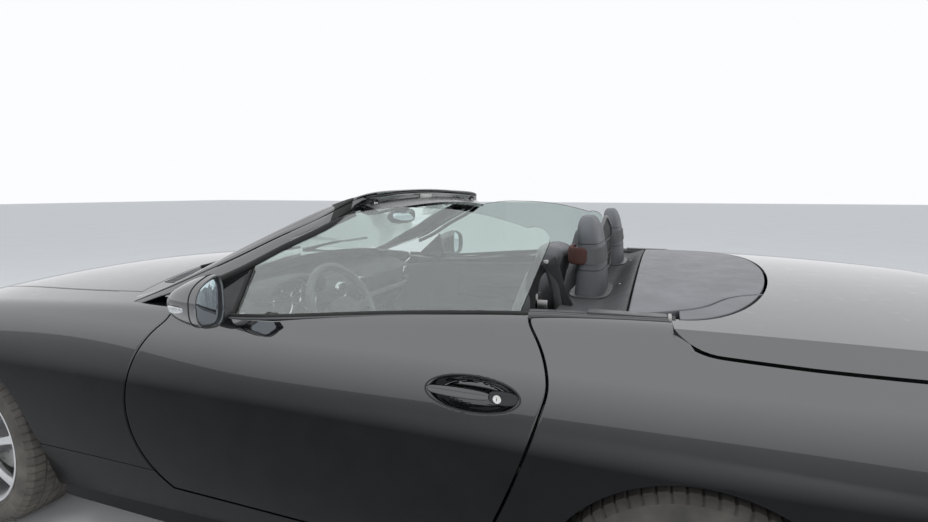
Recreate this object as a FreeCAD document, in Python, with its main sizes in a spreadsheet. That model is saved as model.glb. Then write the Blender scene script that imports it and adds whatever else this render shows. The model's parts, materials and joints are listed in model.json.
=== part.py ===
import FreeCAD, Part
import Sketcher
import math
import os
import re
from types import SimpleNamespace
from FreeCAD import Rotation, Vector

# An open two-seat roadster with its hard roof stowed. X runs to the tail, Y to the
# car's right and Z up. The origin is on the ground, under the middle of the car.

# Driving dimensions, in millimetres and degrees: alias, value, meaning
SIZES = [
    ("overall_length", 4082, "nose to tail"),
    ("front_overhang", 842, "nose to front axle"),
    ("wheelbase", 2430, "front axle to rear axle"),
    ("half_width", 894, "widest half width of the body"),
    ("sill_height", 235, "underside of the body sides"),
    ("waist_height", 570, "height of the widest line"),
    ("belt_height", 925, "height of the shoulder line"),
    ("body_wall", 38, "thickness of the outer panels with their frames"),
    ("shut_gap", 5.5, "gap round doors, bonnet and boot lid"),
    ("seat_gap", 0.3, "clearance at rests and running fits"),
    ("track_front", 1530, "front track"),
    ("track_rear", 1541, "rear track"),
    ("tyre_radius", 317, "outer radius of a tyre"),
    ("tyre_width", 225, "width of a tyre"),
    ("rim_radius", 216, "bead seat radius of a rim"),
    ("rim_wall", 12, "thickness of the rim barrel"),
    ("flange_height", 13, "rim flange above the bead seat"),
    ("flange_inset", 11, "rim flange inside the tyre's width"),
    ("spoke_count", 7, "spokes of a wheel"),
    ("spoke_width", 44, "width of a spoke at the hub"),
    ("spoke_depth", 30, "thickness of a spoke along the axle"),
    ("spoke_inset", 20, "spokes inside the rim's outer edge"),
    ("hub_radius", 72, "wheel hub radius"),
    ("disc_radius", 148, "brake disc radius"),
    ("disc_thickness", 24, "brake disc thickness"),
    ("disc_inset", 78, "brake disc from the tyre's inner side"),
    ("axle_radius", 20, "radius of a stub axle"),
    ("arch_front_radius", 360, "radius of a front wheel arch's edge, clear of the steered tyre"),
    ("arch_rear_radius", 342, "radius of a rear wheel arch's edge"),
    ("house_radius", 386, "inner radius of a wheel housing"),
    ("house_wall", 10, "thickness of a wheel housing"),
    ("house_front", 455, "inner wall of a front wheel housing from the middle"),
    ("house_rear", 545, "inner wall of a rear wheel housing from the middle"),
    ("house_low", 500, "lower edge of a wheel housing's inner wall"),
    ("kingpin_offset", 65, "steering axis inboard of the wheel's middle"),
    ("kingpin_radius", 12, "radius of the steering pivot pin"),
    ("upright_radius", 26, "radius of a knuckle's upright"),
    ("arm_rise", 128, "control arms above and below the axle line"),
    ("arm_thickness", 22, "thickness of a control arm"),
    ("arm_eye", 28, "radius of a control arm's eye"),
    ("rail_half", 400, "inner face of a front side rail from the middle"),
    ("rail_low", 400, "underside of a side rail"),
    ("rail_tall", 120, "height of a side rail"),
    ("floor_height", 165, "underside of the floor"),
    ("floor_thickness", 30, "floor thickness"),
    ("tunnel_half", 110, "half width of the centre tunnel"),
    ("tunnel_height", 200, "height of the tunnel over the floor's underside"),
    ("cabin_half", 690, "inner half width of the cabin"),
    ("bulkhead_front", 635, "front bulkhead behind the front axle"),
    ("bulkhead_rear", 155, "rear bulkhead in front of the rear axle"),
    ("bulkhead_wall", 45, "thickness of a bulkhead"),
    ("shelf_height", 940, "top of the shelf behind the seats"),
    ("shelf_depth", 196, "depth of the shelf behind the seats"),
    ("boot_floor", 440, "underside of the boot floor"),
    ("boot_wall", 20, "thickness of the boot's floor and walls"),
    ("boot_back", 110, "boot's rear wall in front of the tail"),
    ("door_setback", 815, "front axle to the door's front edge"),
    ("door_end", 325, "door's rear edge in front of the rear axle"),
    ("door_bottom", 329, "lower edge of a door"),
    ("door_flange", 28, "rim of the door's outer panel round its body"),
    ("fender_split", 378, "height of the joint between fender and sill"),
    ("bumper_seam", 300, "front bumper's rear edge before the front axle"),
    ("hinge_setback", 45, "hinge axis behind the door's front edge"),
    ("hinge_inset", 36, "hinge axis inside the widest half width"),
    ("hinge_low", 500, "height of the lower door hinge"),
    ("hinge_high", 690, "height of the upper door hinge"),
    ("hinge_tall", 40, "height of a door hinge"),
    ("hinge_pin", 4, "radius of a door hinge pin"),
    ("hinge_barrel", 8, "radius of a door hinge barrel"),
    ("hinge_reach", 88, "hinge arm from its pin towards the cabin"),
    ("handle_half", 115, "half length of a door handle's bowl"),
    ("handle_half_height", 45, "half height of a door handle's bowl"),
    ("handle_depth", 27, "depth of a door handle's bowl"),
    ("handle_grip", 9, "radius of a door handle's bar"),
    ("handle_height", 788, "height of a door handle"),
    ("handle_setback", 166, "door handle's middle before the door's rear edge"),
    ("handle_inset", 36, "door's surface at its handle inside the widest half width"),
    ("glass_thickness", 5, "thickness of the glass"),
    ("glass_belt", 797, "half width of the side glass at its belt"),
    ("glass_foot", 885, "height at which that width is measured"),
    ("glass_lean", 34, "lean of the side glass from upright"),
    ("screen_wall", 30, "depth of the windscreen frame"),
    ("header_height", 1236, "top of the windscreen frame in the middle"),
    ("latch_radius", 8, "radius of a roof latch's hole in the windscreen frame"),
    ("latch_offset", 455, "roof latch from the car's middle"),
    ("mirror_setback", 349, "mirror's middle behind the door's front edge"),
    ("mirror_half_width", 88, "half width of a door mirror"),
    ("mirror_half_height", 76, "half height of a door mirror"),
    ("mirror_half_depth", 84, "half depth of a door mirror's form"),
    ("mirror_cut", 55, "mirror's flat back behind its middle"),
    ("mirror_pane", 66, "radius of a mirror's glass recess"),
    ("mirror_recess", 6, "depth of that recess"),
    ("mirror_rise", 12, "mirror's middle over the shoulder line"),
    ("sail_setback", 364, "sail plate's rear edge behind the door's front edge"),
    ("bonnet_length", 599, "front axle to the bonnet's rear edge in the middle"),
    ("bonnet_corner", 700, "bonnet's rear corners from the middle"),
    ("cowl_half", 712, "half width of the cowl"),
    ("cowl_length", 264, "cowl's rear edge behind the front bulkhead"),
    ("slot_count", 4, "air slots across the cowl"),
    ("slot_half", 600, "half length of an air slot"),
    ("slot_width", 9, "width of an air slot"),
    ("slot_pitch", 18, "spacing of the air slots"),
    ("deck_front", 170, "front edge of the rear deck before the rear axle"),
    ("deck_side", 64, "side corners of the boot lid's front edge before the rear axle"),
    ("deck_bow", 263, "depth of the deck's rounded rear edge"),
    ("deck_half", 743, "half width of the rear deck"),
    ("groove_width", 5, "width of the joints between the deck's lid and side flaps"),
    ("groove_depth", 4, "depth of those joints"),
    ("seat_offset", 360, "seat middle from the car's middle"),
    ("seat_width", 490, "width of a seat"),
    ("seat_base", 260, "underside of a seat"),
    ("hoop_width", 250, "width of a roll hoop cover"),
    ("hoop_height", 1168, "top of a roll hoop cover"),
    ("wheel_rim_radius", 172, "radius of the steering wheel's rim"),
    ("wheel_rim_grip", 15, "radius of the steering wheel's grip"),
    ("hub_depth", 40, "depth of the steering wheel's hub"),
    ("wheel_height", 810, "height of the steering wheel's middle"),
    ("wheel_setback", 454, "steering wheel's middle behind the door's front edge"),
    ("column_radius", 34, "radius of the steering column"),
    ("column_rake", 25, "fall of the steering column from level"),
    ("dash_height", 895, "top of the dashboard"),
    ("lamp_half", 150, "half width of a headlamp"),
    ("lamp_half_height", 66, "half height of a headlamp"),
    ("tail_lamp_half", 145, "half width of a tail lamp"),
    ("tail_lamp_half_height", 72, "half height of a tail lamp"),
    ("grille_half", 330, "half width of the grille"),
    ("grille_low", 448, "lower edge of the grille"),
    ("grille_tall", 112, "height of the grille"),
    ("intake_half", 380, "half width of the lower intake"),
    ("intake_low", 300, "lower edge of the lower intake"),
    ("intake_tall", 90, "height of the lower intake"),
    ("grille_slat", 10, "thickness of a grille slat"),
    ("engine_length", 600, "engine block length"),
    ("engine_width", 480, "engine block width"),
    ("engine_height", 520, "engine block height"),
    ("silencer_length", 260, "silencer length"),
    ("silencer_width", 800, "silencer width"),
    ("silencer_tall", 130, "silencer height"),
    ("pipe_height", 270, "height of the tailpipes' middle"),
    ("tailpipe_radius", 34, "tailpipe outer radius"),
    ("pipe_wall", 4, "tailpipe wall"),
]

# Places worked out from the driving dimensions, for expressions
PLACES = {
    "firewall_x": "(front_x + bulkhead_front)",
    "backwall_x": "(rear_x - bulkhead_rear)",
    "front_x": "(front_overhang - overall_length / 2)",
    "rear_x": "(front_overhang - overall_length / 2 + wheelbase)",
    "nose_x": "(-overall_length / 2)",
    "tail_x": "(overall_length / 2)",
}

# Body sections: anchor and offset along X, then how far the sill, waist and belt
# points stand inward and upward of the driving sizes, and the crown over the belt
SECTIONS = [
    ("nose", 0, 704, 165, 644, -90, 694, -365, 30),
    ("nose", 56, 494, 55, 414, -100, 474, -305, 50),
    ("nose", 141, 334, -10, 239, -110, 294, -245, 52),
    ("nose", 291, 194, -40, 94, -100, 149, -185, 62),
    ("front", -301, 119, -45, 29, -70, 74, -125, 65),
    ("front", 0, 94, -45, 10, -30, 52, -83, 70),
    ("front", 349, 94, -35, 12, -10, 49, -63, 84),
    ("front", 799, 94, -20, 18, -10, 62, -45, 90),
    ("rear", -1231, 94, -10, 16, -10, 82, -32, 62),
    ("rear", -781, 89, -5, 12, 0, 94, 0, 35),
    ("rear", -381, 82, 0, 6, 10, 94, 23, 32),
    ("rear", 0, 74, 0, 0, 30, 86, 30, 38),
    ("rear", 319, 94, 0, 14, 30, 104, 23, 47),
    ("tail", -241, 164, 25, 74, 20, 174, 10, 52),
    ("tail", -111, 284, 65, 194, 10, 294, 0, 54),
    ("tail", -41, 454, 125, 354, 0, 464, -20, 52),
    ("tail", 0, 664, 195, 564, -10, 674, -65, 32),
]

doc = FreeCAD.newDocument("Roadster")
sheet = doc.addObject("Spreadsheet::Sheet", "Sizes")
for row, (alias, value, meaning) in enumerate(SIZES, start=1):
    sheet.set("A%d" % row, meaning)
    sheet.set("B%d" % row, str(value))
    sheet.setAlias("B%d" % row, alias)
doc.recompute()
size = SimpleNamespace(**{row[0]: float(sheet.get(row[0])) for row in SIZES})

NOSE = -size.overall_length / 2
TAIL = size.overall_length / 2
FRONT = NOSE + size.front_overhang
REAR = FRONT + size.wheelbase
DOOR_FRONT = FRONT + size.door_setback
DOOR_REAR = REAR - size.door_end
FIREWALL = FRONT + size.bulkhead_front
BACKWALL = REAR - size.bulkhead_rear
FAR = size.overall_length
SIDES = {"left": -1, "right": 1}
ALIASES = {row[0] for row in SIZES}
NODES = []


def bound(text):
    """An expression with its places written out and the sheet named before each alias."""
    for name, meaning in PLACES.items():
        text = re.sub(r"\b%s\b" % name, meaning, text)
    return re.sub(r"[a-z_]+", lambda m: "Sizes." + m[0] if m[0] in ALIASES else m[0], text)


def node(thing, name):
    """Name a finished sub-part, which is then written out."""
    thing.Label = name
    NODES.append(thing)
    return thing


def place(thing, x="0", y="0", z="0"):
    """Bind an object's position to the sheet."""
    for axis, text in zip("xyz", (x, y, z)):
        thing.setExpression(".Placement.Base." + axis, bound(text))
    return thing


def box(name, x, y, z):
    """A block between two bound coordinates on each axis."""
    block = doc.addObject("Part::Box", name)
    for prop, (low, high) in zip(("Length", "Width", "Height"), (x, y, z)):
        block.setExpression(prop, bound("(%s) - (%s)" % (high, low)))
    return place(block, x[0], y[0], z[0])


def tube(name, radius, length, start, direction):
    """A round bar of bound size from a bound start point along a direction."""
    bar = doc.addObject("Part::Cylinder", name)
    bar.setExpression("Radius", bound(radius))
    bar.setExpression("Height", bound(length))
    bar.Placement.Rotation = Rotation(Vector(0, 0, 1), Vector(*direction))
    return place(bar, *start)


def fuse(name, pieces):
    """Join pieces into one."""
    joined = doc.addObject("Part::MultiFuse", name)
    joined.Shapes = pieces
    joined.Refine = True
    return joined


def common(name, pieces):
    """What all the pieces share."""
    shared = doc.addObject("Part::MultiCommon", name)
    shared.Shapes = pieces
    return shared


def cut(name, base, tools):
    """A piece less one tool or several."""
    left = doc.addObject("Part::Cut", name)
    left.Base = base
    left.Tool = tools[0] if len(tools) == 1 else fuse(name + "_tools", tools)
    return left


def feature(name, shape):
    """A form made with the geometry kernel's own functions."""
    thing = doc.addObject("Part::Feature", name)
    thing.Shape = shape
    return thing


def mirrored(name, source):
    """The same piece on the other side of the car."""
    twin = doc.addObject("Part::Mirroring", name)
    twin.Source = source
    twin.Normal = Vector(0, 1, 0)
    return twin


def pair(name, left):
    """Name a left-hand piece and its mirror image as nodes."""
    node(left, name + "_left")
    node(mirrored(name + "_mirror", left), name + "_right")


def arc(first, middle, last):
    """An arc through three points."""
    return Part.Arc(Vector(*first), Vector(*middle), Vector(*last)).toShape()


def outline(steps, spot):
    """Edges through steps: (a, b) ends a line, (a, b, a_mid, b_mid) an arc."""
    edges = []
    here = steps[-1][:2]
    for step in steps:
        if len(step) == 4:
            edges.append(arc(spot(*here), spot(*step[2:]), spot(*step[:2])))
        else:
            edges.append(Part.makeLine(Vector(*spot(*here)), Vector(*spot(*step))))
        here = step[:2]
    return Part.Face(Part.Wire(edges))


def side_prism(steps, low=None, high=None):
    """An outline of (x, z) steps, drawn out along Y."""
    low = -FAR / 2 if low is None else low
    high = FAR / 2 if high is None else high
    return outline(steps, lambda a, b: (a, low, b)).extrude(Vector(0, high - low, 0))


def top_prism(steps):
    """An outline of (x, y) steps, drawn up through the body."""
    return outline(steps, lambda a, b: (a, b, 0)).extrude(Vector(0, 0, 2 * size.header_height))


def end_prism(steps, low, high):
    """An outline of (y, z) steps, drawn out along X."""
    return outline(steps, lambda a, b: (low, a, b)).extrude(Vector(high - low, 0, 0))


# The body's closed form and its inner forms
def body_form(inset):
    """The body lofted through its sections, its surface set in by a distance."""
    anchors = {"nose": NOSE, "front": FRONT, "rear": REAR, "tail": TAIL}
    wires = []
    for anchor, offset, sill_in, sill_up, waist_in, waist_up, belt_in, belt_up, crown in SECTIONS:
        x = anchors[anchor] + offset + {"nose": inset, "tail": -inset}.get(anchor, 0)
        sill = (size.half_width - sill_in - inset, size.sill_height + sill_up + 0.6 * inset)
        waist = (size.half_width - waist_in - inset, size.waist_height + waist_up)
        belt = (size.half_width - belt_in - inset, size.belt_height + belt_up - 0.5 * inset)
        top = size.belt_height + belt_up + crown - inset
        wires.append(Part.Wire([
            Part.makeLine(Vector(x, -sill[0], sill[1]), Vector(x, *sill)),
            arc((x, *sill), (x, *waist), (x, *belt)),
            arc((x, *belt), (x, 0, top), (x, -belt[0], belt[1])),
            arc((x, -belt[0], belt[1]), (x, -waist[0], waist[1]), (x, -sill[0], sill[1])),
        ]))
    return Part.makeLoft(wires, True, False)


outer = feature("outer_form", body_form(0))
inner = feature("inner_form", body_form(size.body_wall))
rest = feature("rest_form", body_form(size.body_wall + size.seat_gap))
skin = cut("skin", outer, [inner])


# Outlines of the shut lines, each grown by a distance
def door_outline(grow):
    """A door from the side: bowed front edge, level foot and leaning rear edge."""
    front, rear, foot = DOOR_FRONT - grow, DOOR_REAR + grow, size.door_bottom - grow
    belt = size.belt_height
    return side_prism([
        (front + 148, belt + 130),
        (front + 148, belt - 64),
        (front + 135, foot, front, size.waist_height + 50),
        (rear - 190, foot),
        (rear, belt - 125, rear - 70, belt - 339),
        (rear - 66, belt + 21, rear - 19, belt - 45),
        (rear - 66, belt + 130),
    ], -size.half_width - 50, -size.cabin_half)


def bonnet_outline(grow):
    """The bonnet from above: bowed nose, spreading sides and a bowed rear edge."""
    nose, rear, middle = NOSE + 111 - grow, FRONT + size.bonnet_length + grow, FRONT + 49
    corner = size.bonnet_corner + grow
    return top_prism([
        (nose + 150, 500 + grow, nose, 0),
        (rear + 100, corner, middle, 655 + grow),
        (rear + 100, -corner, rear, 0),
        (nose + 150, -500 - grow, middle, -655 - grow),
    ])


def deck_outline(grow):
    """The rear deck from above, with its rounded rear edge."""
    front, side, half = REAR - size.deck_front, REAR - size.deck_side + grow, size.deck_half
    bow = Part.Ellipse(Vector(side, 0, 0), half + grow, size.deck_bow).toShape()
    bow.rotate(Vector(side, 0, 0), Vector(0, 0, 1), 90)
    rounded = Part.Face(Part.Wire(bow)).extrude(Vector(0, 0, 2 * size.header_height))
    square = top_prism([(front, -half), (side, -half), (side, half), (front, half)])
    wide = half + 50
    ahead = top_prism([(side - FAR, -wide), (side, -wide), (side, wide), (side - FAR, wide)])
    return rounded.cut(ahead).fuse(square).removeSplitter()


def lid_outline(grow):
    """The boot lid from the side: its lower edge sweeps down behind the deck."""
    side, belt = REAR - size.deck_side - grow, size.belt_height - grow
    return side_prism([
        (TAIL + 50, belt + 200),
        (side - 10, belt + 200),
        (side - 10, belt + 35),
        (side + 90, belt - 14, side + 26, belt + 4),
        (side + 243, belt - 21),
        (TAIL + 50, belt - 42),
    ])


def lid_back(grow):
    """The boot lid's part that drops between the tail lamps."""
    half, low, top = 470 + grow, 655 - grow, size.belt_height
    return end_prism([(-half, low), (half, low), (half + 12, top), (-half - 12, top)], TAIL - 230, TAIL + 50)


# Lamps, seen from the ends
def lamp_prism(middle_y, middle_z, half, half_height, turn, low, high):
    """An oval drawn out along X, turned about its middle."""
    ring = Part.Ellipse(Vector(0, 0, 0), half, half_height).toShape()
    face = Part.Face(Part.Wire(ring))
    face.rotate(Vector(0, 0, 0), Vector(0, 0, 1), turn)
    face.rotate(Vector(0, 0, 0), Vector(1, 1, 1), 120)
    face.translate(Vector(low, middle_y, middle_z))
    return face.extrude(Vector(high - low, 0, 0))


head_lamp_zone = feature("head_lamp_zone", lamp_prism(
    -595, 668, size.lamp_half, size.lamp_half_height, 14, NOSE - 50, FRONT - 380))
tail_lamp_zone = feature("tail_lamp_zone", lamp_prism(
    -655, 745, size.tail_lamp_half, size.tail_lamp_half_height, 10, TAIL - 330, TAIL + 50))
bonnet_hole = feature("bonnet_hole", bonnet_outline(size.shut_gap))
lid_hole = feature("lid_hole", lid_outline(size.shut_gap).fuse(lid_back(size.shut_gap)))
deck_zone = feature("deck_zone", deck_outline(0))
deck_hole = feature("deck_hole", deck_outline(size.shut_gap))
door_hole = feature("door_hole", door_outline(size.shut_gap))

LOW = ("-300", "2 * header_height")
arch_front, arch_rear = [tube("arch_" + end, "arch_%s_radius" % end, "half_width + 50",
                              (end + "_x", "0", "tyre_radius"), (0, -1, 0)) for end in ("front", "rear")]
left_half = box("left_half", ("nose_x", "tail_x"), ("-half_width - 50", "0"), LOW)

# Front end: bumper, fenders, bonnet, cowl and headlamps
SEAM = FRONT - size.bumper_seam
bumper_zone = feature("bumper_zone", side_prism([
    (NOSE - 50, 0),
    (SEAM, 0),
    (SEAM, 610),
    (SEAM - 170, 735),
    (NOSE - 50, 735),
]))
arch_front_twin = mirrored("arch_front_twin", arch_front)
grille_hole = box("grille_hole", ("nose_x - 50", "nose_x + 150"), ("-grille_half", "grille_half"),
                  ("grille_low", "grille_low + grille_tall"))
intake_hole = box("intake_hole", ("nose_x - 50", "nose_x + 190"), ("-intake_half", "intake_half"),
                  ("intake_low", "intake_low + intake_tall"))
head_lamp_twin = mirrored("head_lamp_twin", head_lamp_zone)
node(cut("bumper_front", common("nose_skin", [skin, bumper_zone]),
         [bonnet_hole, head_lamp_zone, head_lamp_twin, grille_hole, intake_hole,
          arch_front, arch_front_twin]), "front_bumper")

cowl_zone = box("cowl_zone", ("front_x + bonnet_length", "firewall_x + cowl_length"),
                ("-cowl_half", "cowl_half"), ("belt_height - 200", "belt_height + 200"))


def cowl_slot(number):
    """An air slot from above, between two bows that follow the bonnet's rear edge."""
    near = FRONT + size.bonnet_length + size.shut_gap + size.slot_pitch * (number + 0.6)
    far, half = near + size.slot_width, size.slot_half
    sweep = 100 * (half / size.bonnet_corner) ** 2
    return top_prism([
        (far + sweep, half),
        (far + sweep, -half, far, 0),
        (near + sweep, -half),
        (near + sweep, half, near, 0),
    ])


slots = [feature("cowl_slot_%d" % number, cowl_slot(number)) for number in range(int(size.slot_count))]
node(cut("cowl_panel", common("cowl_skin", [skin, cowl_zone]), [bonnet_hole] + slots), "cowl")

fender_zone = feature("fender_zone", side_prism([
    (SEAM, size.fender_split),
    (DOOR_FRONT + 170, size.fender_split),
    (DOOR_FRONT + 170, size.header_height),
    (NOSE - 50, size.header_height),
    (NOSE - 50, 735),
    (SEAM - 170, 735),
    (SEAM, 610),
]))
fender_inside = box("fender_inside", ("front_x + bonnet_length", "front_x + door_setback + 171"),
                    ("-cowl_half", "cowl_half"), ("belt_height - 200", "belt_height + 200"))
fender_left = cut("fender_panel", common("fender_skin", [skin, fender_zone, left_half]),
                  [bonnet_hole, head_lamp_zone, arch_front, fender_inside, door_hole])
pair("front_fender", fender_left)

bonnet_zone = feature("bonnet_zone", bonnet_outline(0))
top_half = box("top_half", ("nose_x", "tail_x"), ("-half_width", "half_width"),
               ("waist_height + 40", "2 * header_height"))
node(common("bonnet_panel", [skin, bonnet_zone, top_half]), "bonnet")

lamp_left = cut("head_lamp", common("head_lamp_skin", [skin, head_lamp_zone]), [bonnet_hole])
lamp_right = mirrored("head_lamp_mirror", lamp_left)
node(fuse("head_lamp_pair", [lamp_left, lamp_right]), "headlamps")

# Grille and lower intake: an edge and level slats that follow the nose
def slats(name, half, low, tall, count, depth):
    """A frame round an opening with level slats across it."""
    hole = box(name + "_hole", ("nose_x - 50", "nose_x + " + depth),
               ("-%s + 12" % half, "%s - 12" % half), (low + " + 12", "%s + %s - 12" % (low, tall)))
    ring = box(name + "_ring", ("nose_x - 50", "nose_x + " + depth),
               ("-" + half, half), (low, "%s + %s" % (low, tall)))
    bars = [cut(name + "_frame", ring, [hole])]
    for index in range(count):
        level = "%s + %s * %d / %d" % (low, tall, index + 1, count + 1)
        bars.append(box("%s_slat_%d" % (name, index), ("nose_x - 50", "nose_x + " + depth),
                        ("-" + half, half), (level + " - grille_slat / 2", level + " + grille_slat / 2")))
    return bars


bars = slats("grille", "grille_half", "grille_low", "grille_tall", 3, "150")
bars += slats("intake", "intake_half", "intake_low", "intake_tall", 3, "190")
grille_bars = common("grille_bars", [skin, fuse("grille_blocks", bars)])
node(grille_bars, "grille")

# Rear end: quarters, deck, boot lid, bumper and tail lamps
rear_bumper_zone = feature("rear_bumper_zone", side_prism([
    (REAR + 365, 0),
    (TAIL + 50, 0),
    (TAIL + 50, 615),
    (REAR + 520, 615),
    (REAR + 365, 560),
]))
tail_lamp_twin = mirrored("tail_lamp_twin", tail_lamp_zone)
belly_hole = box("belly_hole", ("rear_x", "tail_x - 180"), ("-620", "620"), ("0", "boot_floor - 30"))
pipe_holes = []
for side, sign in (("-", -1), ("", 1)):
    pipe_holes.append(tube("pipe_hole_%s" % ("left" if sign < 0 else "right"), "tailpipe_radius + 12", "300",
                           ("tail_x - 250", side + "silencer_width * 0.42", "pipe_height"), (1, 0, 0)))
node(cut("bumper_rear", common("tail_skin", [skin, rear_bumper_zone]), [arch_rear, belly_hole] + pipe_holes),
     "rear_bumper")

quarter_zone = feature("quarter_zone", side_prism([
    (REAR, 0),
    (REAR + 365, 0),
    (REAR + 365, 560),
    (REAR + 520, 615),
    (TAIL + 50, 615),
    (TAIL + 50, size.header_height),
    (DOOR_REAR - 260, size.header_height),
    (DOOR_REAR - 260, size.fender_split),
    (REAR, size.fender_split),
]))
cabin_hole = box("cabin_hole", ("firewall_x + cowl_length", "rear_x - deck_front"),
                 ("-deck_half", "deck_half"), ("waist_height + 200", "2 * header_height"))
quarter_left = cut("quarter_panel", common("quarter_skin", [skin, quarter_zone, left_half]),
                   [lid_hole, deck_zone, tail_lamp_zone, arch_rear, door_hole, cabin_hole, belly_hole])
pair("rear_quarter", quarter_left)

lid_zone = feature("lid_zone", lid_outline(0).fuse(lid_back(0)))
node(cut("lid_panel", common("lid_skin", [skin, lid_zone]),
         [deck_hole, tail_lamp_zone, tail_lamp_twin]), "boot_lid")


def flap_joint():
    """The joint between the deck's lid and a side flap from above: two arcs in an S."""
    wide = size.groove_width
    side, middle, tail = (REAR - 84, 712), (REAR + 30, 560), (REAR + 205, 470)
    return top_prism([
        side,
        (*middle, REAR - 8, 655),
        (*tail, REAR + 92, 487),
        (tail[0], tail[1] - wide),
        (middle[0] - wide, middle[1] - wide, REAR + 90, 487 - wide),
        (side[0] - wide, side[1] - wide, REAR - 8 - wide, 655 - wide),
    ])


joint_right = feature("flap_joint", flap_joint())
joint_left = mirrored("flap_joint_left", joint_right)
joint_floor = feature("joint_floor", body_form(size.groove_depth))
deck_panel = common("deck_panel", [skin, deck_zone, top_half])
joint_band = common("joint_band", [deck_panel, fuse("joint_pair", [joint_left, joint_right])])
joints = cut("deck_joints", joint_band, [joint_floor])
node(cut("deck_grooved", deck_panel, [joints]), "rear_deck")

tail_left = common("tail_lamp", [skin, tail_lamp_zone])
tail_clear = cut("tail_lamp_clear", tail_left, [lid_hole])
tail_right = mirrored("tail_lamp_mirror", tail_clear)
node(fuse("tail_lamp_pair", [tail_clear, tail_right]), "tail_lamps")

# Sills, between the wheel arches
sill_zone = box("sill_zone", ("front_x", "rear_x"), ("-half_width - 50", "-cabin_half"),
                ("0", "fender_split"))
sill_foot = box("sill_foot", ("front_x", "rear_x"), ("-half_width + 94", "-cabin_half"),
                ("floor_height", "sill_height + 20"))
house_cuts = [tube("sill_end_" + end, "house_radius + house_wall + seat_gap", "half_width",
                   (end + "_x", "0", "tyre_radius"), (0, -1, 0)) for end in ("front", "rear")]
sill_skin = cut("sill_skin", common("sill_side", [skin, sill_zone]), [arch_front, arch_rear, door_hole])
sill_inside = fuse("sill_inside", [common("sill_fill", [inner, sill_zone]), sill_foot])
sill_core = cut("sill_core", sill_inside, house_cuts + [door_hole])
pair("sill", fuse("sill_joined", [sill_skin, sill_core]))

# Doors: an outer panel with a rim, a body as thick as the door, and hinge pockets
PIN_X = "(front_x + door_setback + hinge_setback)"
PIN_Y = "(half_width - hinge_inset)"
door_zone = feature("door_zone", door_outline(0))
door_core_zone = feature("door_core_zone", door_outline(-size.door_flange))
door_flange = common("door_flange", [skin, door_zone])
door_core = common("door_core", [inner, door_core_zone])
pockets = []
pins = []
hinges = []
for name in ("hinge_low", "hinge_high"):
    pockets.append(box(name + "_pocket", (PIN_X + " - 75", PIN_X + " + 14"),
                       ("-%s - 10" % PIN_Y, "-%s + hinge_reach + 12" % PIN_Y),
                       (name + " - hinge_tall / 2 - shut_gap", name + " + hinge_tall / 2 + shut_gap")))
    pins.append(tube(name + "_pin", "hinge_pin", "hinge_tall + 20",
                     (PIN_X, "-" + PIN_Y, name + " - hinge_tall / 2 - 10"), (0, 0, 1)))
    barrel = tube(name + "_barrel", "hinge_barrel", "hinge_tall",
                  (PIN_X, "-" + PIN_Y, name + " - hinge_tall / 2"), (0, 0, 1))
    height = (name + " - hinge_tall / 2", name + " + hinge_tall / 2")
    inward = box(name + "_inward", (PIN_X + " - 7", PIN_X + " + 7"),
                 ("-" + PIN_Y, "-%s + hinge_reach" % PIN_Y), height)
    forward = box(name + "_forward", ("firewall_x + 130", PIN_X + " + 7"),
                  ("-%s + hinge_reach - 14" % PIN_Y, "-%s + hinge_reach" % PIN_Y), height)
    bore = tube(name + "_bore", "hinge_pin + seat_gap", "hinge_tall + 20",
                (PIN_X, "-" + PIN_Y, name + " - hinge_tall / 2 - 10"), (0, 0, 1))
    hinges.append(cut(name + "_leaf", fuse(name + "_arm", [barrel, inward, forward]), [bore]))


def leaning_plate(steps, thickness, inward):
    """A plate in the side glass's plane, its outline given as (x, z) steps."""
    lean = math.radians(size.glass_lean)
    def spot(x, z):
        return (x, -size.glass_belt + (z - size.glass_foot) * math.tan(lean), z)
    face = outline(steps, spot)
    normal = Vector(0, math.cos(lean), -math.sin(lean))
    face.translate(normal * inward)
    return face.extrude(normal * thickness)


def glass_steps(grow):
    """The side glass: upright front edge, arched top and a raked rear edge."""
    front, rear, foot = DOOR_FRONT + 374 - grow, DOOR_REAR - 42 + grow, size.glass_foot
    return [
        (front, foot - 40 - grow),
        (front, foot + 148),
        (front + 485, foot + 308, front + 215, foot + 270),
        (rear - 62, foot + 260, rear - 215, foot + 296),
        (rear, foot + 225, rear - 12, foot + 252),
        (rear - 52, foot + 45),
        (rear - 76, foot - 40 - grow),
    ]


HANDLE = ("(rear_x - door_end - handle_setback)", "(-half_width + handle_inset)", "handle_height")
bowl = doc.addObject("Part::Ellipsoid", "handle_bowl")
for prop, text in (("Radius1", "handle_half_height"), ("Radius2", "handle_half"),
                   ("Radius3", "handle_depth")):
    bowl.setExpression(prop, bound(text))
place(bowl, *HANDLE)
grip = tube("handle_bar", "handle_grip", "2 * handle_half + 16",
            (HANDLE[0] + " - handle_half - 8", HANDLE[1] + " + handle_grip + 1", HANDLE[2]), (1, 0, 0))

glass_slot = feature("glass_slot", leaning_plate(
    glass_steps(1), size.glass_thickness + 2 * size.seat_gap, -size.seat_gap))
door_shell = fuse("door_shell", [door_flange, door_core])
door_body = fuse("door_body", [cut("door_hollow", door_shell, pockets + [glass_slot, bowl]), grip] + pins)
pair("door", door_body)
pair("door_glass", feature("side_glass", leaning_plate(glass_steps(0), size.glass_thickness, 0)))

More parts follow.
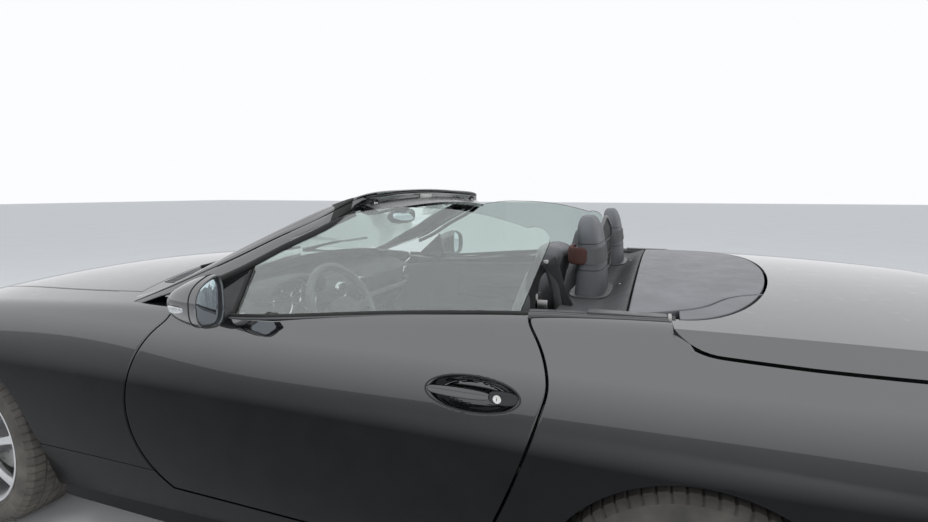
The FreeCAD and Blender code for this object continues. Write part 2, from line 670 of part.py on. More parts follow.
# Door mirrors on their sail plates
sail_x = DOOR_FRONT + size.sail_setback
sail = feature("sail", leaning_plate([
    (sail_x - 150, size.glass_foot - 20),
    (sail_x - 148, size.glass_foot + 10),
    (sail_x, size.glass_foot + 116),
    (sail_x, size.glass_foot - 20),
], 8, -1.5))
sail_seat = feature("sail_seat", body_form(-size.seat_gap))
sail_plate = cut("sail_plate", sail, [sail_seat])
MIRROR_X = "(front_x + door_setback + mirror_setback)"
MIRROR_Y = "(-half_width + 9)"
MIRROR_Z = "(belt_height + mirror_rise)"
housing = doc.addObject("Part::Ellipsoid", "mirror_housing")
for prop, text in (("Radius1", "mirror_half_height"), ("Radius2", "mirror_half_depth"),
                   ("Radius3", "mirror_half_width")):
    housing.setExpression(prop, bound(text))
place(housing, MIRROR_X, MIRROR_Y, MIRROR_Z)
behind = box("mirror_behind", (MIRROR_X + " + mirror_cut", MIRROR_X + " + mirror_cut + 100"),
             ("-half_width - 100", "-half_width + 120"), ("belt_height - 100", "belt_height + 110"))
mirror_arm = box("mirror_arm", (MIRROR_X + " - 49", MIRROR_X + " + 7"),
                 ("-half_width", "-glass_belt + 30"), ("belt_height - 22", "belt_height + 8"))
recess = tube("mirror_recess", "mirror_pane", "mirror_recess + 14",
              (MIRROR_X + " + mirror_cut - mirror_recess", MIRROR_Y, MIRROR_Z), (1, 0, 0))
mirror_shell = cut("mirror_shell", fuse("mirror_form", [housing, mirror_arm]), [behind, recess])
pair("mirror", cut("mirror_clear", fuse("mirror_joined", [mirror_shell, sail_plate]), [sail_seat]))

# Windscreen and its frame, ruled between a foot arc and a header arc
FOOT_SIDE = Vector(DOOR_FRONT - 50, -767, size.belt_height - 35)
FOOT_MID = Vector(FIREWALL - 116, 0, size.belt_height - 15)
HEAD_SIDE = Vector(DOOR_FRONT + 640, -548, size.header_height - 8)
HEAD_MID = Vector(DOOR_FRONT + 575, 0, size.header_height)


def screen_slab(low, high, edge, thickness, start):
    """The part of the screen between two heights and side edges, as shares of the whole."""
    def across(share):
        side = FOOT_SIDE + (HEAD_SIDE - FOOT_SIDE) * share
        middle = FOOT_MID + (HEAD_MID - FOOT_MID) * share
        rise = (side - middle) * (1 - edge * edge)
        left = Vector(side.x - rise.x, side.y * edge, side.z - rise.z)
        right = Vector(left.x, -left.y, left.z)
        return Part.Arc(left, middle, right).toShape()
    face = Part.makeRuledSurface(across(low), across(high))
    inward = Vector(0.36, 0, -0.93)
    face.translate(inward * start)
    return face.extrude(inward * thickness)


screen_whole = feature("screen_whole", screen_slab(0, 1, 1, size.screen_wall, 0))
screen_open = feature("screen_open", screen_slab(0.12, 0.93, 0.92, size.screen_wall + 80, -40))
latches = []
for side, sign in SIDES.items():
    start = ("front_x + door_setback + 644", "%d * latch_offset" % sign, "header_height - 20")
    latches.append(tube("latch_" + side, "latch_radius", "24", start, (-1, 0, 0)))
node(cut("screen_frame", screen_whole, [screen_open, sail_seat] + latches), "windscreen_frame")
screen_glass = feature("screen_glass", screen_slab(0.1205, 0.9295, 0.9195, size.glass_thickness, 8))
node(cut("screen_pane", screen_glass, [sail_seat]), "windscreen")

# Floor, bulkheads, rails, wheel housings and boot tub in one welded underbody
def housing_set(side, middle, inner_wall):
    """One wheel housing: an arched shell with an inner wall above the axle."""
    start = (middle, "0", "tyre_radius")
    shell = tube(side + "_shell", "house_radius + house_wall", "half_width", start, (0, -1, 0))
    hollow = tube(side + "_hollow", "house_radius", "half_width", start, (0, -1, 0))
    inboard = box(side + "_inboard", (middle + " - 500", middle + " + 500"),
                  ("-%s" % inner_wall, "100"), ("0", "1200"))
    inboard_wall = box(side + "_inboard_wall", (middle + " - 500", middle + " + 500"),
                       ("-%s + house_wall" % inner_wall, "100"), ("0", "1200"))
    below = box(side + "_below", (middle + " - 500", middle + " + 500"),
                ("-half_width - 50", "100"), ("0", "sill_height"))
    window = box(side + "_window", (middle + " - 500", middle + " + 500"),
                 ("-%s - 1" % inner_wall, "100"), ("0", "house_low"))
    chamber = cut(side + "_chamber", hollow, [inboard])
    return cut(side + "_wall", shell, [chamber, inboard_wall, below, window]), chamber


front_house, front_chamber = housing_set("front_house", "front_x", "house_front")
rear_house, rear_chamber = housing_set("rear_house", "rear_x", "house_rear")
boot_back_x = "(tail_x - boot_back)"
shell_parts = [
    box("firewall", ("firewall_x - bulkhead_wall", "firewall_x"), ("-cabin_half", "0"),
        ("floor_height", "header_height")),
    box("a_post", ("firewall_x - bulkhead_wall", "firewall_x + 130"), ("-half_width + 58", "-cabin_half + 5"),
        ("fender_split + seat_gap", "belt_height - 75")),
    box("backwall", ("backwall_x", "backwall_x + bulkhead_wall"), ("-half_width", "0"),
        ("fender_split + seat_gap", "header_height")),
    box("b_post", ("rear_x - door_end + 12", "backwall_x + 1"), ("-half_width", "-cabin_half + 5"),
        ("fender_split + 20", "belt_height - 20")),
    box("shelf", ("backwall_x - shelf_depth", "backwall_x + 1"), ("-cabin_half", "0"),
        ("shelf_height - 30", "shelf_height")),
    box("side_rail", ("nose_x + 181", "firewall_x - 1"), ("-house_front", "-rail_half"),
        ("rail_low", "rail_low + rail_tall")),
    box("cross_rail", ("nose_x + 181", "nose_x + 241"), ("-600", "0"), ("rail_low", "rail_low + rail_tall")),
    box("lock_post", ("nose_x + 201", "nose_x + 241"), ("-420", "-380"), ("rail_low", "header_height")),
    box("boot_base", ("backwall_x + 1", boot_back_x), ("-house_rear", "0"),
        ("boot_floor", "boot_floor + boot_wall")),
    box("boot_end", (boot_back_x, boot_back_x + " + boot_wall"), ("-half_width", "0"),
        ("boot_floor", "boot_floor + 180")),
    box("boot_corner", (boot_back_x + " - 60", boot_back_x + " + boot_wall"), ("-745", "-560"),
        ("boot_floor", "header_height")),
    box("gutter", ("backwall_x + 1", boot_back_x), ("-745", "-700"), ("belt_height - 70", "header_height")),
    box("gutter_stay", ("rear_x + 20", "rear_x + 60"), ("-745", "-700"),
        ("tyre_radius + house_radius + 2", "belt_height - 60")),
    box("boot_side", ("rear_x + 300", boot_back_x), ("-house_rear - boot_wall", "-house_rear"),
        ("boot_floor", "boot_floor + 200")),
    front_house,
    rear_house,
]
frame_inside = common("frame_inside", [rest, fuse("frame_blocks", shell_parts)])
floor_parts = [
    box("floor", ("firewall_x - bulkhead_wall", "backwall_x + bulkhead_wall"), ("-cabin_half", "0"),
        ("floor_height", "floor_height + floor_thickness")),
    box("tunnel", ("firewall_x - 1", "backwall_x + 1"), ("-tunnel_half", "0"),
        ("floor_height", "floor_height + tunnel_height")),
    box("firewall_foot", ("firewall_x - bulkhead_wall", "firewall_x"), ("-cabin_half", "0"),
        ("floor_height", "fender_split + 10")),
    box("backwall_foot", ("backwall_x", "backwall_x + bulkhead_wall"), ("-cabin_half", "0"),
        ("floor_height", "fender_split + 10")),
    box("seat_rail_out", ("rear_x - 1031", "rear_x - 600"), ("-seat_offset - 190", "-seat_offset - 150"),
        ("floor_height", "seat_base")),
    box("seat_rail_in", ("rear_x - 1031", "rear_x - 600"), ("-seat_offset + 150", "-seat_offset + 190"),
        ("floor_height", "seat_base")),
]
frame_solid = fuse("frame_solid", [frame_inside] + floor_parts)
frame_left = cut("frame_left", frame_solid, [front_chamber, rear_chamber])
half_frame = fuse("half_frame", [frame_left] + hinges)
whole_frame = fuse("whole_frame", [half_frame, mirrored("half_frame_twin", half_frame)])
ENDS = ("-half_width", "half_width")
for label, low, high in (("front_frame", "nose_x", "firewall_x - bulkhead_wall"),
                         ("floorpan", "firewall_x - bulkhead_wall", "backwall_x + bulkhead_wall"),
                         ("boot_tub", "backwall_x + bulkhead_wall", "tail_x")):
    zone = box(label + "_zone", (low, high), ENDS, ("0", "header_height"))
    node(common(label + "_solid", [whole_frame, zone]), label)

# Dashboard with binnacle and steering column
RAKE = math.radians(size.column_rake)
ALONG = (-math.cos(RAKE), 0, -math.sin(RAKE))
WHEEL_X = "(front_x + door_setback + wheel_setback)"
dash = feature("dash_form", side_prism([
    (FIREWALL + 0.3, size.dash_height - 25),
    (FIREWALL + 60, size.dash_height, FIREWALL + 22, size.dash_height - 6),
    (FIREWALL + 380, size.dash_height - 35, FIREWALL + 240, size.dash_height - 5),
    (FIREWALL + 430, size.dash_height - 120, FIREWALL + 425, size.dash_height - 75),
    (FIREWALL + 340, size.dash_height - 260),
    (FIREWALL + 0.3, size.dash_height - 300),
], -size.cabin_half + 8, size.cabin_half - 8))
binnacle = feature("binnacle", side_prism([
    (FIREWALL + size.cowl_length + 6, size.dash_height - 60),
    (FIREWALL + 440, size.dash_height + 38, FIREWALL + 320, size.dash_height + 42),
    (FIREWALL + 415, size.dash_height - 60),
], -size.seat_offset - 165, -size.seat_offset + 165))
COLUMN_START = (WHEEL_X + " - (hub_depth + seat_gap) * cos(column_rake * 1 deg)", "-seat_offset",
                "wheel_height - (hub_depth + seat_gap) * sin(column_rake * 1 deg)")
column = tube("column", "column_radius", "240", COLUMN_START, ALONG)
dash_room = feature("dash_room", body_form(size.body_wall + 3))
dash_body = common("dash_inside", [dash_room, dash])
node(fuse("dash_joined", [dash_body, binnacle, column]), "dashboard")

# Steering wheel: rim, hub and three spokes
rim_ring = doc.addObject("Part::Torus", "wheel_ring")
rim_ring.setExpression("Radius1", bound("wheel_rim_radius"))
rim_ring.setExpression("Radius2", bound("wheel_rim_grip"))
rim_ring.Placement.Rotation = Rotation(Vector(0, 0, 1), Vector(*ALONG))
place(rim_ring, WHEEL_X, "-seat_offset", "wheel_height")
hub = tube("wheel_hub", "52", "hub_depth", (WHEEL_X, "-seat_offset", "wheel_height"), ALONG)
down = Vector(math.sin(RAKE), 0, -math.cos(RAKE))
arms = []
for index, direction in enumerate((Vector(0, -1, 0), Vector(0, 1, 0), down)):
    spoke = tube("wheel_spoke_%d" % index, "11", "wheel_rim_radius",
                 (WHEEL_X + " - 10.9", "-seat_offset", "wheel_height - 5.1"), direction)
    arms.append(spoke)
node(fuse("steering_joined", [rim_ring, hub] + arms), "steering_wheel")

# Centre console
console = feature("console_form", side_prism([
    (FIREWALL + 330, size.floor_height + size.tunnel_height + 0.3),
    (FIREWALL + 345, size.floor_height + size.tunnel_height + 130),
    (FIREWALL + 640, size.floor_height + size.tunnel_height + 150),
    (FIREWALL + 860, size.floor_height + size.tunnel_height + 225, FIREWALL + 780, size.floor_height + 375),
    (FIREWALL + 1180, size.floor_height + size.tunnel_height + 230),
    (FIREWALL + 1200, size.floor_height + size.tunnel_height + 0.3),
], -size.tunnel_half + 10, size.tunnel_half - 10))
node(console, "console")

# Seats: cushion, back and head restraint in one upholstered form
seat_side = feature("seat_side", side_prism([
    (REAR - 1081, size.seat_base + 0.3),
    (REAR - 1075, size.seat_base + 135, REAR - 1105, size.seat_base + 70),
    (REAR - 680, size.seat_base + 110, REAR - 860, size.seat_base + 125),
    (REAR - 490, size.seat_base + 760, REAR - 580, size.seat_base + 360),
    (REAR - 372, size.seat_base + 780, REAR - 436, size.seat_base + 822),
    (REAR - 510, size.seat_base + 0.3, REAR - 420, size.seat_base + 400),
], -size.seat_offset - size.seat_width / 2, -size.seat_offset + size.seat_width / 2))
HALF = size.seat_width / 2
SEAT_Y, BASE = -size.seat_offset, size.seat_base
seat_front = feature("seat_front", end_prism([
    (SEAT_Y - HALF, BASE - 50),
    (SEAT_Y - HALF, BASE + 480),
    (SEAT_Y - HALF * 0.5, BASE + 720, SEAT_Y - HALF * 0.74, BASE + 620),
    (SEAT_Y + HALF * 0.5, BASE + 720, SEAT_Y, BASE + 836),
    (SEAT_Y + HALF, BASE + 480, SEAT_Y + HALF * 0.74, BASE + 620),
    (SEAT_Y + HALF, BASE - 50),
], REAR - 1300, REAR - 200))
pair("seat", common("seat_form", [seat_side, seat_front]))

# Roll hoop covers and the wind deflector between them
SHELF = size.shelf_height + size.seat_gap
HOOP = size.hoop_width / 2
hoop_side = feature("hoop_side", side_prism([
    (BACKWALL - 172, SHELF),
    (BACKWALL - 160, size.hoop_height),
    (BACKWALL - 104, size.hoop_height),
    (BACKWALL - 84, SHELF),
]))
HOOP_TOP = size.hoop_height
hoop_front = feature("hoop_front", end_prism([
    (SEAT_Y - HOOP, SHELF - 10),
    (SEAT_Y - HOOP + 8, HOOP_TOP - 80),
    (SEAT_Y - HOOP + 70, HOOP_TOP, SEAT_Y - HOOP + 26, HOOP_TOP - 24),
    (SEAT_Y + HOOP - 70, HOOP_TOP, SEAT_Y, HOOP_TOP + 6),
    (SEAT_Y + HOOP - 8, HOOP_TOP - 80, SEAT_Y + HOOP - 26, HOOP_TOP - 24),
    (SEAT_Y + HOOP, SHELF - 10),
], BACKWALL - 250, BACKWALL))
hoop_left = common("hoop_left", [hoop_side, hoop_front])
hoop_right = mirrored("hoop_right", hoop_left)
node(fuse("hoop_pair", [hoop_left, hoop_right]), "roll_hoops")
INNER = size.seat_offset - HOOP - size.seat_gap
deflector = feature("deflector", end_prism([
    (-INNER, SHELF),
    (-INNER, size.hoop_height - 62),
    (INNER, size.hoop_height - 62, 0, size.hoop_height - 22),
    (INNER, SHELF),
], BACKWALL - 142, BACKWALL - 132))
node(deflector, "wind_deflector")

# Engine, as one plain block on the front subframe
block = box("engine", ("front_x - 60", "front_x - 60 + engine_length"),
            ("-engine_width / 2", "engine_width / 2"),
            ("floor_height + 75 + seat_gap", "floor_height + 75 + engine_height"))
node(block, "engine_block")

# Front suspension: subframe with lower and upper control arms
def control_arm(name, level, root, spread):
    """An arm that narrows from its root to an eye round the steering pivot."""
    middle = size.track_front / 2 - size.kingpin_offset
    low = level - size.arm_thickness / 2
    eye = size.arm_eye
    def spot(a, b):
        return (FRONT + a, b, low)
    plan = outline([
        (-spread, -root),
        (-eye, -middle + 70),
        (-eye, -middle),
        (eye, -middle, 0, -middle - eye),
        (eye, -middle + 70),
        (spread, -root),
    ], spot)
    arm = plan.extrude(Vector(0, 0, size.arm_thickness))
    bore = Part.makeCylinder(size.kingpin_radius + size.seat_gap, 2 * size.arm_thickness,
                             Vector(FRONT, -middle, low - 10))
    return feature(name, arm.cut(bore))


lower_arm = control_arm("lower_arm", size.tyre_radius - size.arm_rise, 420, 110)
upper_arm = control_arm("upper_arm", size.tyre_radius + size.arm_rise, size.house_front, 80)
cross = box("front_cross", ("front_x - 75", "front_x + 75"), ("-440", "0"),
            ("floor_height", "floor_height + 75"))
cross_post = box("front_post", ("front_x - 40", "front_x + 40"), ("-440", "-rail_half - 5"),
                 ("floor_height", "rail_low"))
front_half = fuse("front_half", [cross, cross_post, lower_arm])
front_twin = mirrored("front_twin", front_half)
upper_twin = mirrored("upper_twin", upper_arm)
node(fuse("front_axle_joined", [front_half, upper_arm, front_twin, upper_twin]), "front_axle")

# Rear suspension: subframe, differential, half shafts, arms and hub carriers
INBOARD = "(track_rear / 2 - tyre_width / 2)"
rear_parts = [
    box("rear_cross", ("rear_x - 60", "rear_x + 60"), ("-500", "0"),
        ("floor_height + 25", "floor_height + 95")),
    box("rear_post", ("rear_x - 40", "rear_x + 40"), ("-500", "-440"), ("floor_height + 25", "boot_floor")),
    box("differential", ("rear_x - 105", "rear_x + 105"), ("-110", "0"),
        ("floor_height + 60", "boot_floor - 25")),
    tube("half_shaft", "18", INBOARD + " + 30", ("rear_x", "0", "tyre_radius"), (0, -1, 0)),
    box("rear_arm", ("rear_x - 35", "rear_x + 35"), ("-%s - 20" % INBOARD, "-440"),
        ("floor_height + 25", "floor_height + 47")),
    box("rear_carrier", ("rear_x - 35", "rear_x + 35"), ("-%s - 66" % INBOARD, "-%s + 2" % INBOARD),
        ("floor_height + 25", "tyre_radius + 60")),
    tube("rear_stub", "axle_radius", "disc_inset + 45", ("rear_x", "-" + INBOARD, "tyre_radius"), (0, -1, 0)),
]
rear_half = fuse("rear_half", rear_parts)
rear_twin = mirrored("rear_twin", rear_half)
node(fuse("rear_axle_joined", [rear_half, rear_twin]), "rear_axle")

# Steering knuckles with stub axle and brake caliper
KING_Y = "(track_front / 2 - kingpin_offset)"
FRONT_INBOARD = "(track_front / 2 - tyre_width / 2)"
pin = tube("kingpin", "kingpin_radius", "2 * arm_rise + arm_thickness",
           ("front_x", "-" + KING_Y, "tyre_radius - arm_rise - arm_thickness / 2"), (0, 0, 1))
upright = tube("upright", "upright_radius", "2 * arm_rise - arm_thickness - 2 * seat_gap",
               ("front_x", "-" + KING_Y, "tyre_radius - arm_rise + arm_thickness / 2 + seat_gap"), (0, 0, 1))
stub = tube("stub_axle", "axle_radius", "disc_inset + 45 - 47.5",
            ("front_x", "-" + KING_Y, "tyre_radius"), (0, -1, 0))
bracket = box("caliper_bracket", ("front_x - 140", "front_x"),
              ("-%s - 68" % FRONT_INBOARD, "-%s - 50" % FRONT_INBOARD),
              ("tyre_radius - 16", "tyre_radius + 16"))
caliper = box("caliper", ("front_x - 176", "front_x - 100"),
              ("-%s - disc_inset - disc_thickness - 14" % FRONT_INBOARD, "-%s - 60" % FRONT_INBOARD),
              ("tyre_radius - 52", "tyre_radius + 52"))
disc_space = tube("disc_space", "disc_radius + 4", "disc_thickness + 6",
                  ("front_x", "-%s - disc_inset + 3" % FRONT_INBOARD, "tyre_radius"), (0, -1, 0))
caliper_body = cut("caliper_body", fuse("caliper_form", [bracket, caliper]), [disc_space])
pair("knuckle", fuse("knuckle_joined", [pin, upright, stub, caliper_body]))

# Exhaust: silencer on two hangers, with a pipe to each side
silencer = box("silencer", ("rear_x + 330", "rear_x + 330 + silencer_length"),
               ("-silencer_width / 2", "silencer_width / 2"),
               ("pipe_height - silencer_tall / 2", "pipe_height + silencer_tall / 2"))
silencer_round = doc.addObject("Part::Fillet", "silencer_round")
doc.recompute()
silencer_round.Base = silencer
silencer_round.Edges = [(index + 1, 30.0, 30.0) for index, edge in enumerate(silencer.Shape.Edges)
                        if abs(edge.tangentAt(edge.FirstParameter).y) > 0.9]
exhaust_parts = [silencer_round]
for side, sign in SIDES.items():
    across = ("" if sign > 0 else "-") + "silencer_width * 0.42"
    start = ("rear_x + 325 + silencer_length", across, "pipe_height")
    tail = tube("tailpipe_" + side, "tailpipe_radius", "210", start, (1, 0, 0))
    bore = tube("tailpipe_bore_" + side, "tailpipe_radius - pipe_wall", "160",
                ("rear_x + 385 + silencer_length", start[1], start[2]), (1, 0, 0))
    top = "pipe_height + silencer_tall / 2"
    hanger = tube("hanger_" + side, "8", "boot_floor - %s + 2 - seat_gap" % top.replace("+", "-"),
                  ("rear_x + 330 + silencer_length / 2", across, top + " - 2"), (0, 0, 1))
    exhaust_parts += [cut("tailpipe_open_" + side, tail, [bore]), hanger]
node(fuse("exhaust_joined", exhaust_parts), "exhaust")


# Wheels: each a turned rim with spokes, hub and brake disc, and a turned tyre
def profile(body, name, plane, points, offset=None):
    """A closed sketch of straight edges whose corners are bound to the sheet."""
    sketch = body.newObject("Sketcher::SketchObject", name)
    sketch.AttachmentSupport = [(next(f for f in body.Origin.OriginFeatures if f.Role == plane), "")]
    sketch.MapMode = "FlatFace"
    if offset:
        sketch.setExpression(".AttachmentOffset.Base.z", bound(offset))
    count = len(points)
    turns = [2 * math.pi * index / count for index in range(count + 1)]
    rough = [Vector(150 + 40 * math.cos(turn), 100 + 40 * math.sin(turn), 0) for turn in turns]
    for index in range(count):
        sketch.addGeometry(Part.LineSegment(rough[index], rough[index + 1]), False)
    for index, point in enumerate(points):
        sketch.addConstraint(Sketcher.Constraint("Coincident", index, 2, (index + 1) % count, 1))
        for kind, text in zip(("DistanceX", "DistanceY"), point):
            number = sketch.addConstraint(Sketcher.Constraint(kind, -1, 1, index, 1, 50.0))
            sketch.setExpression("Constraints[%d]" % number, bound(text))
    return sketch


def turned(body, name, sketch):
    """A sketch turned round the wheel's axle."""
    solid = body.newObject("PartDesign::Revolution", name)
    solid.Profile = sketch
    solid.ReferenceAxis = (sketch, ["V_Axis"])
    solid.Angle = 360
    return solid


def wheel_body(label, axle_x, track, sign):
    """A body standing at a wheel's inner face, its own Y pointing outboard."""
    body = doc.addObject("PartDesign::Body", label)
    if sign < 0:
        body.Placement.Rotation = Rotation(Vector(0, 0, 1), 180)
    across = "(%s / 2 - tyre_width / 2)" % track
    place(body, axle_x, across if sign > 0 else "-" + across, "tyre_radius")
    return node(body, label)


FLANGE = "rim_radius + flange_height"
INSIDE = "rim_radius - rim_wall"
OUTBOARD = "tyre_width - flange_inset"
BARREL = [
    (FLANGE, "flange_inset"),
    (FLANGE, "flange_inset + 7"),
    ("rim_radius", "flange_inset + 7"),
    ("rim_radius", OUTBOARD + " - 7"),
    (FLANGE, OUTBOARD + " - 7"),
    (FLANGE, OUTBOARD),
    (INSIDE, OUTBOARD),
    (INSIDE, "flange_inset"),
]
HUB = [
    ("axle_radius + seat_gap", "disc_inset"),
    ("disc_radius", "disc_inset"),
    ("disc_radius", "disc_inset + disc_thickness"),
    ("hub_radius", "disc_inset + disc_thickness"),
    ("hub_radius", "tyre_width - spoke_inset - spoke_depth * 0.3"),
    ("hub_radius * 0.6", "tyre_width - spoke_inset - spoke_depth * 0.1"),
    ("0", "tyre_width - spoke_inset - spoke_depth * 0.1"),
    ("0", "disc_inset + 50"),
    ("axle_radius + seat_gap", "disc_inset + 50"),
]
TYRE = [
    ("rim_radius + seat_gap", "flange_inset + 7 + seat_gap"),
    (FLANGE + " + 2", "flange_inset + 7 + seat_gap"),
    (FLANGE + " + 4", "flange_inset - 1"),
    ("tyre_radius * 0.84", "1"),
    ("tyre_radius * 0.945", "7"),
    ("tyre_radius * 0.985", "18"),
    ("tyre_radius", "38"),
    ("tyre_radius", "tyre_width - 38"),
    ("tyre_radius * 0.985", "tyre_width - 18"),
    ("tyre_radius * 0.945", "tyre_width - 7"),
    ("tyre_radius * 0.84", "tyre_width - 1"),
    (FLANGE + " + 4", "tyre_width - flange_inset + 1"),
    (FLANGE + " + 2", "tyre_width - flange_inset - 7 - seat_gap"),
    ("rim_radius + seat_gap", "tyre_width - flange_inset - 7 - seat_gap"),
]
SPOKE = [
    ("hub_radius - 12", "-spoke_width / 2"),
    ("rim_radius - rim_wall / 2", "-spoke_width / 3"),
    ("rim_radius - rim_wall / 2", "spoke_width / 3"),
    ("hub_radius - 12", "spoke_width / 2"),
]
for place_name, axle_x, track, sign in (
        ("front_left", "front_x", "track_front", -1),
        ("front_right", "front_x", "track_front", 1),
        ("rear_left", "rear_x", "track_rear", -1),
        ("rear_right", "rear_x", "track_rear", 1)):
    rim = wheel_body("rim_" + place_name, axle_x, track, sign)
    turned(rim, "barrel_" + place_name, profile(rim, "barrel_line_" + place_name, "XY_Plane", BARREL))
    spoke = rim.newObject("PartDesign::Pad", "spoke_" + place_name)
    spoke.Profile = profile(rim, "spoke_line_" + place_name, "XZ_Plane", SPOKE,
                            "-(tyre_width - spoke_inset - spoke_depth / 2)")
    spoke.Midplane = True
    spoke.setExpression("Length", bound("spoke_depth"))
    ring = rim.newObject("PartDesign::PolarPattern", "spokes_" + place_name)
    ring.Originals = [spoke]
    ring.Axis = (next(f for f in rim.Origin.OriginFeatures if f.Role == "Y_Axis"), [""])
    ring.Angle = 360
    ring.setExpression("Occurrences", bound("spoke_count"))
    rim.Tip = ring
    turned(rim, "hub_" + place_name, profile(rim, "hub_line_" + place_name, "XY_Plane", HUB))
    tyre = wheel_body("tyre_" + place_name, axle_x, track, sign)
    turned(tyre, "tread_" + place_name, profile(tyre, "tyre_line_" + place_name, "XY_Plane", TYRE))

# Work everything out, test it and write one file for each sub-part
doc.recompute()
for thing in doc.Objects:
    if "Invalid" in thing.State or "Error" in thing.State:
        raise RuntimeError("%s could not be worked out: %s" % (thing.Name, thing.State))
for thing in NODES:
    if thing.Shape.isNull() or not thing.Shape.isValid() or not thing.Shape.Solids:
        raise RuntimeError("%s has no valid solid" % thing.Label)
os.makedirs("parts", exist_ok=True)
for thing in NODES:
    thing.Shape.exportStep(os.path.join("parts", thing.Label + ".step"))
    print("%-20s %d solids, %8.3f litres" % (thing.Label, len(thing.Shape.Solids), thing.Shape.Volume / 1e6))
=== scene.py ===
# %% [markdown]
# # An open two-seat roadster, dressed for the camera
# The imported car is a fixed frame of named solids, each on a body that a joint can move.
# This lesson keeps those places, gives every solid a finish, and covers the solids that
# the eye lingers on with finer surfaces. X runs to the tail, Y to the car's right, Z up.

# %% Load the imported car
import json
import math

import bpy
import numpy as np
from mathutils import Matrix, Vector


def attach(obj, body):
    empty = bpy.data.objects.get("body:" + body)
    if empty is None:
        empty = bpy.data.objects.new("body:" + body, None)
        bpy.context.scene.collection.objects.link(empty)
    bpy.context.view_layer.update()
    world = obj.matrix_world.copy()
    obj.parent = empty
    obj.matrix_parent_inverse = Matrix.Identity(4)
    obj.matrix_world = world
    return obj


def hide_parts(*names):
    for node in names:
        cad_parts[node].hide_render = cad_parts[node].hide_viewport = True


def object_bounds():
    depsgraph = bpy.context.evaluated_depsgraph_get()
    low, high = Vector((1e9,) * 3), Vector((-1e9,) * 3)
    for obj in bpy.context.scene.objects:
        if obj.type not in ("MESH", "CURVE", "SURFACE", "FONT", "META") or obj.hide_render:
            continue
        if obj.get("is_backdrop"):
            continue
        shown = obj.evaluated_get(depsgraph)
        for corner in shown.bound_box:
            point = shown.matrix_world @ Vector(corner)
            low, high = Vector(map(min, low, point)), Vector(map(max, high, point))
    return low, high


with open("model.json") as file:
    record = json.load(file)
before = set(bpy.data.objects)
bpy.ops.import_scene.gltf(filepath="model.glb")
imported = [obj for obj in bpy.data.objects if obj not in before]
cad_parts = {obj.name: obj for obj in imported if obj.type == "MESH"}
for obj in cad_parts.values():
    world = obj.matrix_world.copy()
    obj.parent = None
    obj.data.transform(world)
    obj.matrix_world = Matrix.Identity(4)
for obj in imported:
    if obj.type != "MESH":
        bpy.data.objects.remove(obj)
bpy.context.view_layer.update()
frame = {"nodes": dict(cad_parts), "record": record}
nodes = frame["nodes"]

# %% [markdown]
# ## The camera
# The picture was taken beside the left door, a little above its top, looking across the
# cabin to the front. A wide lens close to the car gives that view. The place and angles
# below came from matching the door's cut, the arch and the hoops with the picture.

# %% Camera
IMAGE_WIDTH = 928
FOCAL_PIXELS = 529.6
camera_data = bpy.data.cameras.new("camera")
camera_data.sensor_width = 36.0
camera_data.lens = FOCAL_PIXELS / IMAGE_WIDTH * camera_data.sensor_width
camera_data.clip_start = 0.02
camera = bpy.data.objects.new("camera", camera_data)
bpy.context.scene.collection.objects.link(camera)
camera.location = (1.125, -1.968, 1.238)
camera.rotation_euler = (math.radians(90 - 7.47), 0, math.radians(20.35))
bpy.context.scene.camera = camera
print("lens %.2f mm" % camera_data.lens)

# %% [markdown]
# ## Light and floor
# Black gloss paint shows its surroundings more than its own colour, so the light is what
# draws its shape. A plain pale sky, a large soft lamp over the car and a weaker one on the
# camera's side are enough. Mirrors and glass see the same white sky as the camera does.

# %% World, lamps and floor
LIT_SKY, SEEN_SKY = ((0.93, 0.96, 1.0, 1), 0.72), ((0.97, 0.98, 1.0, 1), 1.0)
scene = bpy.context.scene
scene.view_settings.view_transform = "Standard"
scene.world = bpy.data.worlds.new("studio")
scene.world.use_nodes = True
sky = scene.world.node_tree
sky.nodes.clear()
rays = sky.nodes.new("ShaderNodeLightPath")
seen = rays.outputs["Is Camera Ray"]
for kind in ("Is Glossy Ray", "Is Transmission Ray"):
    either = sky.nodes.new("ShaderNodeMath")
    either.operation = "MAXIMUM"
    sky.links.new(seen, either.inputs[0])
    sky.links.new(rays.outputs[kind], either.inputs[1])
    seen = either.outputs[0]
choose = sky.nodes.new("ShaderNodeMixShader")
sky.links.new(seen, choose.inputs[0])
for socket, (colour, strength) in ((1, LIT_SKY), (2, SEEN_SKY)):
    plain = sky.nodes.new("ShaderNodeBackground")
    plain.inputs["Color"].default_value = colour
    plain.inputs["Strength"].default_value = strength
    sky.links.new(plain.outputs[0], choose.inputs[socket])
sky_out = sky.nodes.new("ShaderNodeOutputWorld")
sky.links.new(choose.outputs[0], sky_out.inputs[0])


def soft_lamp(name, place, aim, width, power):
    """A square soft lamp at a place, turned so that its face looks at aim."""
    data = bpy.data.lights.new(name, "AREA")
    data.size, data.energy = width, power
    thing = bpy.data.objects.new(name, data)
    scene.collection.objects.link(thing)
    thing.location = place
    thing.rotation_euler = (Vector(aim) - Vector(place)).to_track_quat("-Z", "Y").to_euler()
    thing.visible_glossy = thing.visible_transmission = False


soft_lamp("lamp_over", (-0.5, -1.0, 5.5), (0, 0, 0.5), 5.0, 260)
soft_lamp("lamp_near", (3.5, -5.0, 2.6), (0.2, 0, 0.7), 2.5, 90)

FLOOR_HALF = 60.0
corners = np.array([(-1, -1, 0), (1, -1, 0), (1, 1, 0), (-1, 1, 0)]) * FLOOR_HALF
floor_mesh = bpy.data.meshes.new("floor")
floor_mesh.from_pydata(corners.tolist(), [], [(0, 1, 2, 3)])
floor = bpy.data.objects.new("floor", floor_mesh)
scene.collection.objects.link(floor)
floor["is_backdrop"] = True
print("floor", 2 * FLOOR_HALF, "m wide")

